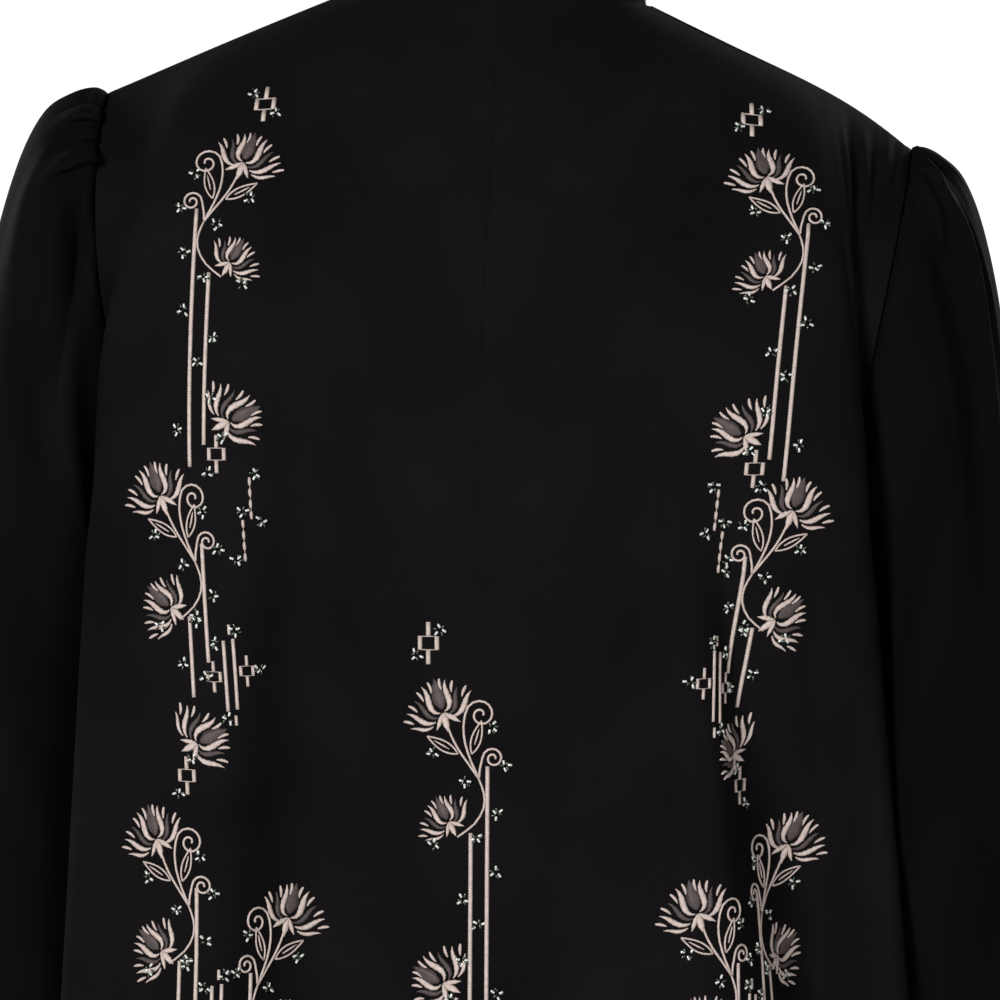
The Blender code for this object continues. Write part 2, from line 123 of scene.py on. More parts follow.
# %% Floor and light
FLOOR_DROP = 0.004  # the floor is this far below the hem
FLOOR_SIZE = 9.0
WORLD_SHOWN, WORLD_LIGHT = 1.05, 0.10
LIGHT_COLUMNS = ("name", "place", "size", "watts")
LIGHTS = (
    ("key", (1.5, 3.1, 0.7), 1.0, 95.0),
    ("fill", (-2.4, 2.4, 0.2), 1.7, 30.0),
    ("front_key", (-1.8, -2.6, 1.2), 1.7, 58.0),
    ("front_fill", (2.4, -2.0, 0.5), 1.8, 36.0),
)


def linear(hex_colour):
    """An sRGB hex colour as the linear RGBA that a socket takes."""
    parts = [int(hex_colour[i:i + 2], 16) / 255 for i in (1, 3, 5)]
    return [part / 12.92 if part <= 0.04045 else ((part + 0.055) / 1.055) ** 2.4 for part in parts] + [1.0]


def add(tree, kind, inputs=None, **settings):
    """Add a node. inputs gives each socket a value, or an output socket to link from."""
    node = tree.nodes.new(kind)
    for name, value in settings.items():
        setattr(node, name, value)
    for socket, value in (inputs or {}).items():
        if isinstance(value, bpy.types.NodeSocket):
            tree.links.new(value, node.inputs[socket])
        else:
            node.inputs[socket].default_value = value
    return node


def new_material(name, finish):
    """A material, its node tree and its main shader, whose even sockets take their values from finish."""
    material = bpy.data.materials.new(name)
    material.use_nodes = True
    shader = material.node_tree.nodes["Principled BSDF"]
    for socket, value in finish.items():
        shader.inputs[socket].default_value = value
    return material, material.node_tree, shader


world = bpy.data.worlds.new("studio")
world.use_nodes = True
studio = world.node_tree
studio.nodes.clear()
seen = add(studio, "ShaderNodeLightPath").outputs["Is Camera Ray"]
brightness = add(studio, "ShaderNodeMapRange", {"Value": seen, "To Min": WORLD_LIGHT, "To Max": WORLD_SHOWN})
backdrop = add(studio, "ShaderNodeBackground",
               {"Color": linear("#ffffff"), "Strength": brightness.outputs["Result"]})
add(studio, "ShaderNodeOutputWorld", {"Surface": backdrop.outputs["Background"]})
bpy.context.scene.world = world

for row in LIGHTS:
    light = dict(zip(LIGHT_COLUMNS, row))
    lamp = bpy.data.lights.new(light["name"], "AREA")
    lamp.size, lamp.energy = light["size"], light["watts"]
    stand = placed(light["name"], lamp)
    stand.location = light["place"]
    stand.rotation_euler = (Vector(light["place"]) - VIEW_TARGET).to_track_quat("Z", "Y").to_euler()

floor_mesh = bpy.data.meshes.new("floor")
floor_form = bmesh.new()
bmesh.ops.create_grid(floor_form, x_segments=1, y_segments=1, size=FLOOR_SIZE / 2)
bmesh.ops.translate(floor_form, verts=floor_form.verts, vec=(0.0, 0.0, cad_box[0][2] - FLOOR_DROP))
floor_form.to_mesh(floor_mesh)
floor_form.free()
floor_paint = new_material("matt_white_paint", {"Base Color": linear("#e9e7e4"), "Roughness": 0.9})[0]
floor_mesh.materials.append(floor_paint)
placed("floor", floor_mesh)
print("lights:", len(LIGHTS))

# %% [markdown]
# ## Black crepe
#
# The cloth is a polyester crepe with a fine diagonal twill, the usual choice for an abaya: matt, dense and a
# little heavy. Its black is warm, and it has a faint sheen where it turns away, from the fibres that stand
# up. The twill is drawn on the cloth's own flat coordinates, so that it follows every fold. Its real lines
# are 0.4 mm apart. They are drawn 1.2 mm apart here, because finer ones would only turn to noise.

# %% Crepe
TWILL_PITCH = 0.0012
TWILL_SHARE = 0.14  # how much the lines change the colour, against 1 for the mottle and grain
TWILL_ANGLE = math.radians(35.0)
WAVE_PERIOD = math.pi / 10  # a wave texture of scale 1 repeats at this distance
PEBBLES_PER_METRE = 1400.0  # each is 0.7 mm across
CLOUDS_PER_METRE = 11.0  # each is 90 mm across
DARKEST, LIGHTEST = 0.12, 0.52  # sums of the patterns
RIB_HEIGHT, PEBBLE_HEIGHT = 0.00020, 0.00015


def crepe(name, dark, light, roughness):
    """Matt black crepe: a twill, a fine pebbled grain, and slow unevenness in its colour."""
    material, tree, shader = new_material(name, {
        "Roughness": roughness, "Specular IOR Level": 0.025, "Sheen Weight": 0.004, "Sheen Roughness": 0.5})
    cloth = add(tree, "ShaderNodeUVMap", uv_map="cloth").outputs["UV"]
    turned = add(tree, "ShaderNodeMapping", {"Vector": cloth, "Rotation": (0.0, 0.0, TWILL_ANGLE)})
    twill = add(tree, "ShaderNodeTexWave",
                {"Vector": turned.outputs["Vector"], "Scale": WAVE_PERIOD / TWILL_PITCH,
                 "Distortion": 0.7, "Detail": 1.0, "Detail Scale": 2.0})
    grain = add(tree, "ShaderNodeTexNoise", {"Vector": cloth, "Scale": PEBBLES_PER_METRE, "Detail": 2.0})
    slow = add(tree, "ShaderNodeTexNoise", {"Vector": cloth, "Scale": CLOUDS_PER_METRE, "Detail": 3.0})
    mottle = add(tree, "ShaderNodeMath", {0: slow.outputs["Fac"], 1: grain.outputs["Fac"]},
                 operation="MULTIPLY")
    lined = add(tree, "ShaderNodeMath", {0: twill.outputs["Fac"], 1: TWILL_SHARE, 2: mottle.outputs["Value"]},
                operation="MULTIPLY_ADD")
    shade = add(tree, "ShaderNodeMapRange",
                {"Value": lined.outputs["Value"], "From Min": DARKEST, "From Max": LIGHTEST})
    colour = add(tree, "ShaderNodeMixRGB",
                 {"Fac": shade.outputs["Result"], "Color1": linear(dark), "Color2": linear(light)})
    ribs = add(tree, "ShaderNodeBump",
               {"Height": twill.outputs["Fac"], "Strength": 0.6, "Distance": RIB_HEIGHT})
    pebble = add(tree, "ShaderNodeBump",
                 {"Height": grain.outputs["Fac"], "Strength": 0.35, "Distance": PEBBLE_HEIGHT,
                  "Normal": ribs.outputs["Normal"]})
    tree.links.new(colour.outputs["Color"], shader.inputs["Base Color"])
    tree.links.new(pebble.outputs["Normal"], shader.inputs["Normal"])
    return material


body_crepe = crepe("body_twill_crepe", "#090809", "#181618", 0.76)
# The sleeves wear a darker copy of the same crepe: painted shade, for sleeves that hang in less light than the
# back.
sleeve_painted_shade_crepe = crepe("sleeve_twill_crepe_painted_shade", "#060607", "#111112", 0.76)
print("crepe:", body_crepe.name, sleeve_painted_shade_crepe.name)

# %% [markdown]
# ## Smooth curves through a few sizes
#
# A cutter works from a short table: the width and depth at the chest, hip and hem. A smooth curve through
# each column gives every height between. The helpers below read such tables, and make the soft hump that all
# folds and creases are built from.

# %% Curves and humps


def smooth_step(value):
    """0 below 0, 1 above 1, and level at both ends."""
    value = min(1.0, max(0.0, value))
    return value * value * (3.0 - 2.0 * value)


def blend(first, second, share):
    return first + (second - first) * share


def bump(offset, half_width):
    """A smooth hump: 1 in its middle, a half at half_width, nothing from twice that."""
    share = abs(offset) / (2.0 * half_width)
    return 0.5 + 0.5 * math.cos(math.pi * share) if share < 1.0 else 0.0


def curve_through(keys, values, at):
    """A smooth curve through the values at rising keys, read at one place."""
    last = len(keys) - 1
    at = min(max(at, keys[0]), keys[last])
    cell = max(i for i in range(last) if keys[i] <= at)
    before, after = max(cell - 1, 0), min(cell + 2, last)
    span = keys[cell + 1] - keys[cell]
    slope_in = (values[cell + 1] - values[before]) / (keys[cell + 1] - keys[before])
    slope_out = (values[after] - values[cell]) / (keys[after] - keys[cell])
    t = (at - keys[cell]) / span
    return ((2 * t**3 - 3 * t**2 + 1) * values[cell] + (t**3 - 2 * t**2 + t) * span * slope_in
            + (3 * t**2 - 2 * t**3) * values[cell + 1] + (t**3 - t**2) * span * slope_out)


@lru_cache(maxsize=None)
def table_at(columns, rows, key):
    """Every named column of a table, at one value of its first column."""
    keys = [row[0] for row in rows]
    return {name: curve_through(keys, [row[i] for row in rows], key) for i, name in enumerate(columns)}


print("hump at 0, 1 and 2 half widths:", [round(bump(offset, 1.0), 2) for offset in (0.0, 1.0, 2.0)])

# %% [markdown]
# ## Neck, shoulders and armholes
#
# These are the seams that every other piece hangs from. The origin is midway between the two neck points, the
# cloak's back faces +Y, and the wearer's left is +X. The wearer holds the right shoulder a little lower, so
# all of the upper cloak is tilted by one rule, which fades out below the chest.

# %% Seams of the upper body
LEFT, RIGHT = 1, -1
BACK, FRONT = 1, -1
TILT = math.tan(math.radians(4.1))
TILT_FROM_Z, TILT_TO_Z = -0.25, -0.60
SWAY, SWAY_TO_Z = 0.005, -0.30
NECK_HALF_WIDTH = 0.070
NECK_POINT_Y = 0.004
NECK_CENTRE = {BACK: (0.050, 0.002), FRONT: (-0.076, -0.080)}  # y and z at centre back and centre front
NECK_DIP_POWER = 1.4
NECK_BAND_HEIGHT = 0.014
NECK_BAND_LEAN = 0.10
NECK_BAND_LIFT = 0.0010
SHOULDER_POINT = Vector((0.204, 0.0, -0.063))
UNDERARM_POINT = Vector((0.166, 0.0, -0.285))
SHOULDER_ARCH = {LEFT: 0.0, RIGHT: 0.005}
ARMHOLE_HALF_DEPTH = {BACK: 0.070, FRONT: 0.058}
ARMHOLE_BOW = {LEFT: 0.002, RIGHT: 0.004}
ARMHOLE_POWER = {LEFT: {"x": 2.2, "y": 1.2, "z": 1.35}, RIGHT: {"x": 1.45, "y": 1.2, "z": 1.35}}


def posed(point):
    """The point, moved by the tilt of the shoulders and the sway below them."""
    fade = 1.0 - smooth_step((TILT_FROM_Z - point.z) / (TILT_FROM_Z - TILT_TO_Z))
    sway = SWAY * smooth_step(point.z / SWAY_TO_Z)
    return Vector((point.x + sway, point.y, point.z + point.x * TILT * fade))


def armhole(side, face, share):
    """The armhole seam from the shoulder point down to the underarm point, behind or before the arm."""
    power = ARMHOLE_POWER[side]
    bow = ARMHOLE_BOW[side] * math.sin(math.pi * share)
    return Vector((
        blend(SHOULDER_POINT.x, UNDERARM_POINT.x, share**power["x"]) + bow,
        face * ARMHOLE_HALF_DEPTH[face] * math.sin(math.pi * share**power["y"]),
        blend(SHOULDER_POINT.z, UNDERARM_POINT.z, share**power["z"]),
    ))


def neck_seam(face, share):
    """The neck seam from centre back or centre front round to the neck point."""
    centre_y, centre_z = NECK_CENTRE[face]
    turn = share * math.pi / 2
    return Vector((NECK_HALF_WIDTH * math.sin(turn),
                   blend(NECK_POINT_Y, centre_y, math.cos(turn)),
                   centre_z * math.cos(turn)**NECK_DIP_POWER))


def shoulder_seam(side, share):
    """The shoulder seam from the neck point to the shoulder point."""
    point = Vector((NECK_HALF_WIDTH, NECK_POINT_Y, 0.0)).lerp(SHOULDER_POINT, share)
    point.z += SHOULDER_ARCH[side] * math.sin(math.pi * share**2)
    return point


print(f"shoulders: {2000 * SHOULDER_POINT.x:.0f} mm across")

# %% [markdown]
# ## The body's form
#
# A ring round the body is numbered from 0 at centre back, past 4 at the side seam, to 8 at centre front. The
# table gives the ring's stations at seven heights. Below the underarm each ring is level. Above it, lines run
# from the neck and shoulder seams down to the underarm ring, and bend to meet the armhole.

# %% Body form
SIDE = 4.0
BODY_COLUMNS = ("down", "back_y", "back_edge_x", "back_edge_y", "tuck_x", "tuck_y", "side_x",
                "front_edge_x", "front_edge_y", "front_y")
BODY_SECTIONS = (
    (0.285, 0.114, 0.201, 0.080, 0.175, 0.034, 0.166, 0.150, -0.080, -0.124),
    (0.340, 0.116, 0.204, 0.085, 0.172, 0.036, 0.158, 0.150, -0.088, -0.127),
    (0.450, 0.121, 0.210, 0.090, 0.174, 0.040, 0.157, 0.154, -0.094, -0.126),
    (0.620, 0.132, 0.219, 0.097, 0.194, 0.045, 0.172, 0.168, -0.100, -0.132),
    (0.820, 0.150, 0.228, 0.108, 0.232, 0.054, 0.220, 0.196, -0.110, -0.146),
    (1.080, 0.176, 0.242, 0.126, 0.268, 0.064, 0.266, 0.226, -0.126, -0.164),
    (1.400, 0.208, 0.256, 0.148, 0.300, 0.076, 0.308, 0.258, -0.146, -0.188),
)
UNDERARM_DOWN, HEM_DOWN = BODY_SECTIONS[0][0], BODY_SECTIONS[-1][0]
FRONT_TUCK_OUT = 0.004
MIDDLE_SHARE = (0.56, 0.955)
OPENING_HALF_GAP = (0.004, 0.026)
DROP_POWER_AT, DROP_POWER = (0.0, 0.7, 1.8, 3.0, 4.0), (1.05, 1.45, 1.75, 1.55, 1.35)
SPREAD_POWER = 1.1
NECK_END = 0.8
SHOULDER_EASE = 0.66
EDGE_PULL = {LEFT: 0.003, RIGHT: 0.010}  # how far in the edge stands on each side, from the chest down
EDGE_PULL_AT, EDGE_PULL_HALF_WIDTH, EDGE_PULL_DOWN = 2.1, 0.9, (0.19, 0.30, 0.70, 1.10)
BLADE = {"at": 1.3, "half_width": 0.8, "down": 0.17, "half_height": 0.07, "out": 0.006}
STEP = 0.01  # between the two places that give a surface's direction


def top_edge(side, face, at):
    """A panel's top edge: the neck seam, then the shoulder seam."""
    if at <= NECK_END:
        return neck_seam(face, at / NECK_END)
    return shoulder_seam(side, ((at - NECK_END) / (SIDE - NECK_END))**SHOULDER_EASE)


def ring_point(face, down, at):
    """A point of the body's smooth horizontal ring, at 0 on the centre line to 4 on the side seam."""
    row = table_at(BODY_COLUMNS, BODY_SECTIONS, down)
    back = ((0.0, row["back_y"]),
            (row["back_edge_x"] * MIDDLE_SHARE[0], row["back_y"] * MIDDLE_SHARE[1]),
            (row["back_edge_x"], row["back_edge_y"]),
            (row["tuck_x"], row["tuck_y"]))
    front = ((0.0, row["front_y"]),
             (row["front_edge_x"] * MIDDLE_SHARE[0], row["front_y"] * MIDDLE_SHARE[1]),
             (row["front_edge_x"], row["front_edge_y"]),
             ((row["front_edge_x"] + row["side_x"]) / 2 + FRONT_TUCK_OUT, row["front_edge_y"] / 2))
    near, far = (back, front) if face == BACK else (front, back)
    stations = [(-near[1][0], near[1][1]), *near, (row["side_x"], 0.0), far[3]]
    keys = range(-1, len(stations) - 1)
    x = curve_through(keys, [station[0] for station in stations], at)
    y = curve_through(keys, [station[1] for station in stations], at)
    return Vector((x, y, -down))


def yoke_line(side, face, at, share):
    """One line down the upper body, from the top edge to the underarm ring, leaving the armhole aside."""
    top, foot = top_edge(side, face, at), ring_point(face, UNDERARM_DOWN, at)
    drop = curve_through(DROP_POWER_AT, DROP_POWER, at)
    return Vector((blend(top.x, foot.x, share**SPREAD_POWER),
                   blend(top.y, foot.y, math.sin(share * math.pi / 2)),
                   blend(top.z, foot.z, share**drop)))


def body_base(side, face, at, row):
    """The body without its folds. row runs 0 to 1 down to the underarm and 1 to 2 down to the hem."""
    if row > 1.0:
        return ring_point(face, blend(UNDERARM_DOWN, HEM_DOWN, row - 1.0), at)
    pull = (at / SIDE)**2
    stray = armhole(side, face, row) - yoke_line(side, face, SIDE, row)
    point = yoke_line(side, face, at, row) + stray * pull
    blade = bump(at - BLADE["at"], BLADE["half_width"]) * bump(-point.z - BLADE["down"], BLADE["half_height"])
    point.y += face * BLADE["out"] * blade
    return point


print(f"length: {1000 * HEM_DOWN:.0f} mm from the neck point")

# %% [markdown]
# ## Folds and creases of the body
#
# The large folds are the solid's own, and run on down to the hem. The creases are smaller: soft drag lines
# from the armholes, shallow hollows beside the shoulder blades, and the slack that gathers over the hip. No
# two of them have the same length, depth or spacing, because evenly spaced ones look like corrugated card.

# %% Body folds
HIP_DOWN = 0.500
BODY_FOLDS = (  # place on the ring, half width, from this far down, depth at the hip, depth at the hem
    (0.62, 0.26, 0.120, -0.0240, -0.036),
    (1.20, 0.28, 0.120, 0.0120, 0.032),
    (2.10, 0.34, 0.520, -0.0020, -0.028),
    (2.80, 0.36, 0.600, 0.0010, 0.024),
    (3.50, 0.34, 0.620, -0.0005, -0.022),
    (-0.72, 0.40, 0.260, 0.0050, 0.026),
    (-1.60, 0.26, 0.200, -0.0420, -0.048),
    (-2.06, 0.24, 0.160, 0.0100, 0.024),
    (-2.40, 0.30, 0.520, -0.0020, -0.026),
    (-3.02, 0.34, 0.600, 0.0010, 0.024),
    (-3.62, 0.34, 0.620, -0.0005, -0.020),
    (0.10, 0.44, 0.620, 0.0, 0.018),
    (4.25, 0.36, 0.600, 0.0010, 0.024),
    (4.95, 0.34, 0.560, -0.0010, -0.026),
    (5.60, 0.36, 0.400, 0.0040, 0.026),
    (6.30, 0.38, 0.260, -0.0070, -0.032),
    (7.00, 0.38, 0.360, 0.0040, 0.024),
    (7.62, 0.30, 0.620, -0.0010, -0.016),
    (-4.30, 0.34, 0.600, 0.0010, 0.022),
    (-5.02, 0.34, 0.540, -0.0010, -0.026),
    (-5.74, 0.38, 0.380, 0.0040, 0.028),
    (-6.46, 0.38, 0.300, -0.0060, -0.030),
    (-7.16, 0.36, 0.400, 0.0030, 0.022),
)
# The slant is how far round the ring a crease moves for each metre down.
BODY_CREASES = (  # place on the ring, down, half width, half height, slant, depth
    (2.62, 0.175, 0.13, 0.055, -2.2, -0.0016),
    (3.12, 0.215, 0.12, 0.045, -3.4, 0.0014),
    (2.86, 0.262, 0.11, 0.040, -4.0, -0.0012),
    (3.30, 0.330, 0.12, 0.050, 2.5, -0.0016),
    (0.42, 0.330, 0.12, 0.110, 0.5, -0.0008),
    (1.12, 0.310, 0.15, 0.170, 0.0, 0.0040),
    (0.76, 0.310, 0.15, 0.170, 0.0, -0.0045),
    (1.22, 0.420, 0.14, 0.120, 0.6, -0.0014),
    (0.62, 0.520, 0.12, 0.150, 0.3, 0.0010),
    (1.76, 0.480, 0.12, 0.130, 0.4, 0.0012),
    (-2.78, 0.092, 0.06, 0.018, -2.2, 0.0019),
    (-2.96, 0.098, 0.07, 0.024, -1.6, -0.0024),
    (-3.22, 0.088, 0.05, 0.014, -2.6, 0.0015),
    (-3.40, 0.092, 0.05, 0.016, -2.2, -0.0017),
    (-3.62, 0.082, 0.04, 0.010, -2.6, 0.0011),
    (-3.78, 0.084, 0.04, 0.012, -2.2, -0.0011),
    (2.40, 0.172, 0.40, 0.045, 0.0, 0.0050),
    (-2.60, 0.175, 0.10, 0.070, -0.7, 0.0026),
    (-2.98, 0.190, 0.12, 0.070, -0.6, -0.0022),
    (-1.16, 0.290, 0.10, 0.080, -1.4, -0.0030),
    (-1.30, 0.385, 0.14, 0.105, -1.4, -0.0120),
    (-3.26, 0.250, 0.10, 0.040, 3.0, 0.0012),
    (-1.04, 0.370, 0.09, 0.130, 0.2, 0.0022),
    (-1.18, 0.520, 0.08, 0.110, 0.1, -0.0018),
    (-2.08, 0.430, 0.10, 0.100, -0.4, -0.0016),
    (-0.40, 0.420, 0.14, 0.160, 0.3, -0.0010),
    (-2.34, 0.330, 0.09, 0.070, 0.8, 0.0012),
    (5.10, 0.190, 0.14, 0.050, 2.8, -0.0014),
    (4.72, 0.262, 0.11, 0.045, 3.8, 0.0012),
    (5.46, 0.300, 0.13, 0.070, 1.6, -0.0014),
    (6.10, 0.200, 0.16, 0.070, 0.9, 0.0014),
    (7.10, 0.260, 0.13, 0.110, -0.4, -0.0010),
    (6.70, 0.470, 0.12, 0.140, 0.5, 0.0014),
    (-5.04, 0.200, 0.13, 0.055, -2.6, -0.0015),
    (-4.66, 0.270, 0.12, 0.040, -3.6, 0.0012),
    (-5.62, 0.290, 0.12, 0.080, -1.4, -0.0013),
    (-6.22, 0.220, 0.15, 0.060, -0.8, 0.0013),
    (-7.04, 0.310, 0.13, 0.100, 0.5, -0.0010),
    (-6.86, 0.500, 0.12, 0.150, -0.4, 0.0013),
    (1.10, 0.760, 0.10, 0.140, 0.3, 0.0022),
    (-1.62, 0.700, 0.09, 0.120, -0.3, -0.0024),
    (2.46, 0.820, 0.10, 0.150, 0.3, -0.0020),
    (-2.72, 0.860, 0.10, 0.160, -0.2, 0.0022),
    (-0.30, 0.900, 0.12, 0.180, 0.2, -0.0020),
    (4.62, 0.800, 0.10, 0.150, -0.3, 0.0020),
    (-4.66, 0.840, 0.10, 0.140, 0.3, 0.0020),
    (5.98, 0.780, 0.11, 0.160, 0.2, -0.0022),
    (-6.10, 0.820, 0.11, 0.150, -0.2, -0.0022),
    (7.30, 0.880, 0.10, 0.150, 0.1, 0.0018),
    (-7.52, 0.860, 0.10, 0.150, -0.1, -0.0018),
    (1.78, 1.120, 0.10, 0.150, 0.1, -0.0026),
    (-2.10, 1.140, 0.09, 0.160, -0.1, 0.0026),
    (6.66, 1.120, 0.10, 0.150, 0.1, 0.0024),
    (-5.36, 1.100, 0.10, 0.150, -0.1, 0.0024),
)


def fold_depth(ring_at, down):
    """How far the large folds move the cloth outwards at a place on a ring."""
    total = 0.0
    for at, half_width, start, at_hip, at_hem in BODY_FOLDS:
        if down <= start or abs(ring_at - at) >= 2.0 * half_width:
            continue
        to_hip = smooth_step((down - start) / (HIP_DOWN - start)) if start < HIP_DOWN else 1.0
        start = max(start, HIP_DOWN)
        to_hem = smooth_step((down - start) / (HEM_DOWN - start))
        total += blend(at_hip * to_hip, at_hem, to_hem) * bump(ring_at - at, half_width)
    return total


def crease_depth(creases, at, down):
    """How far the creases move the cloth outwards."""
    total = 0.0
    for middle, height, half_width, half_height, slant, depth in creases:
        offset = at - middle - slant * (down - height)
        if abs(offset) < 2.0 * half_width and abs(down - height) < 2.0 * half_height:
            total += depth * bump(offset, half_width) * bump(down - height, half_height)
    return total


def body_point(side, face, at, row):
    """A point of the body's outer face."""
    point = body_base(side, face, at, row)
    down = max(-point.z, UNDERARM_DOWN)
    along = ring_point(face, down, at + STEP) - ring_point(face, down, at - STEP)
    out = face * Vector((-along.y, along.x, 0.0)).normalized()
    ring_at = side * (at if face == BACK else 2 * SIDE - at)
    point += out * fold_depth(ring_at, -point.z)
    if face == BACK:
        start, full, still, gone = EDGE_PULL_DOWN
        taken_in = smooth_step((-point.z - start) / (full - start))
        let_out = smooth_step((-point.z - still) / (gone - still))
        point.x -= EDGE_PULL[side] * (taken_in - let_out) * bump(at - EDGE_PULL_AT, EDGE_PULL_HALF_WIDTH)
    if face == FRONT:
        hang = smooth_step((NECK_CENTRE[FRONT][1] - point.z) / (NECK_CENTRE[FRONT][1] + HEM_DOWN))
        point.x += blend(*OPENING_HALF_GAP, hang) * (1.0 - at / SIDE)
    point.x *= side
    return posed(point)


print("body:", len(BODY_FOLDS), "folds and", len(BODY_CREASES), "creases")

# %% [markdown]
# ## The sleeves' form
#
# Each sleeve is a tube of rings that starts on the armhole seam. Its head is laid in four pleats behind and
# four before the shoulder. On the left each laps over the one below, and on the right most have opened into
# ridges. The fullness that they hold opens out into long soft folds towards the elbow.

# %% Sleeve form
SLEEVE_COLUMNS = ("stage", "outer_x", "outer_z", "inner_x", "inner_z", "half_depth", "centre_y")
SLEEVE_SECTIONS = (
    (0.00, 0.000, 0.000, 0.000, 0.000, 0.064, 0.006),
    (0.04, 0.007, 0.003, 0.003, -0.010, 0.068, 0.006),
    (0.09, 0.019, -0.001, 0.008, -0.020, 0.071, 0.005),
    (0.15, 0.033, -0.012, 0.014, -0.030, 0.072, 0.001),
    (0.22, 0.046, -0.038, 0.020, -0.046, 0.072, -0.004),
    (0.31, 0.059, -0.084, 0.024, -0.070, 0.071, -0.009),
    (0.42, 0.070, -0.150, 0.026, -0.106, 0.069, -0.014),
    (0.55, 0.078, -0.240, 0.028, -0.158, 0.067, -0.018),
    (0.70, 0.082, -0.348, 0.031, -0.220, 0.064, -0.024),
    (0.85, 0.082, -0.458, 0.034, -0.290, 0.061, -0.030),
    (1.00, 0.078, -0.560, 0.042, -0.352, 0.056, -0.040),
)
SLEEVE_HEAD_HALF_DEPTH = SLEEVE_SECTIONS[0][5]
SLEEVE_SPREAD = {LEFT: 1.0, RIGHT: 0.82}
# The right arm is held back and in, fully from the second of these stages on.
HELD_BACK, HELD_IN = {LEFT: 0.0, RIGHT: 0.040}, {LEFT: 0.0, RIGHT: 0.016}
HELD_STAGES = (0.14, 0.60)
ROUND_STAGE = 0.30  # from here on the sleeve is round, and no longer the shape of the armhole
SEAM_STEPS = 12
PLEATS = {  # upper and lower edge along the armhole seam, height, full until this stage, gone at this one
    LEFT: (
        (0.004, 0.018, 0.0042, 0.015, 0.06),
        (0.018, 0.031, 0.0066, 0.03, 0.14),
        (0.031, 0.044, 0.0046, 0.02, 0.08),
        (0.044, 0.061, 0.0070, 0.04, 0.17),
    ),
    RIGHT: (
        (0.004, 0.011, 0.0018, 0.06, 0.20),
        (0.011, 0.028, 0.0024, 0.20, 0.60),
        (0.028, 0.0375, 0.0026, 0.02, 0.09),
        (0.0375, 0.052, 0.0020, 0.02, 0.10),
    ),
}
PLEAT_RISE_STAGE = 0.014
PLEAT_SEAM_SHARE, PLEAT_OPEN_STAGE = 0.55, 0.03  # a pleat's height at the seam, and the stage where it is 1
LAPPED = {LEFT: (1.0, 1.0, 1.0, 1.0), RIGHT: (0.15, 0.0, 0.5, 0.3)}  # 0 is an open ridge, 1 folds right under
# One pleat in section, from its root under the pleat above to its own folded edge and back under it: where
# each line lies once the pleat has opened out flat, where it lies while it is folded, and how high it stands
# there as a lapped pleat and as an open ridge.
PLEAT_SECTION = (
    (0.00, 0.00, 0.00, 0.00), (0.11, 0.20, 0.40, 0.08), (0.22, 0.42, 0.68, 0.18), (0.36, 0.64, 0.86, 0.34),
    (0.50, 0.84, 0.97, 0.66), (0.60, 0.97, 1.00, 1.00), (0.68, 1.05, 0.92, 0.60), (0.76, 1.07, 0.74, 0.32),
    (0.84, 1.03, 0.55, 0.15), (0.90, 0.96, 0.36, 0.06), (0.95, 0.92, 0.15, 0.02),
)
SLEEVE_FOLDS = {  # at, half width, from stage, full at stage, to stage, depth
    LEFT: (
        (0.43, 0.10, 0.005, 0.07, 0.32, -0.0110),
        (0.30, 0.07, 0.04, 0.14, 0.55, 0.0060),
        (0.60, 0.08, 0.08, 0.20, 0.60, 0.0080),
        (0.72, 0.08, 0.25, 0.60, 1.30, -0.0050),
        (-0.32, 0.11, 0.10, 0.30, 0.80, -0.0075),
        (-0.54, 0.10, 0.14, 0.40, 0.95, 0.0055),
        (-0.70, 0.09, 0.35, 0.70, 1.30, -0.0050),
        (-0.16, 0.08, 0.45, 0.75, 1.20, 0.0045),
    ),
    RIGHT: (
        (0.28, 0.06, 0.05, 0.18, 0.60, -0.0070),
        (0.44, 0.09, 0.08, 0.26, 0.90, 0.0060),
        (0.12, 0.07, 0.30, 0.60, 1.20, 0.0040),
        (0.70, 0.08, 0.30, 0.60, 1.30, -0.0055),
        (-0.28, 0.11, 0.10, 0.30, 0.80, -0.0070),
        (-0.50, 0.10, 0.14, 0.40, 0.95, 0.0055),
        (-0.72, 0.09, 0.35, 0.70, 1.30, -0.0050),
    ),
}
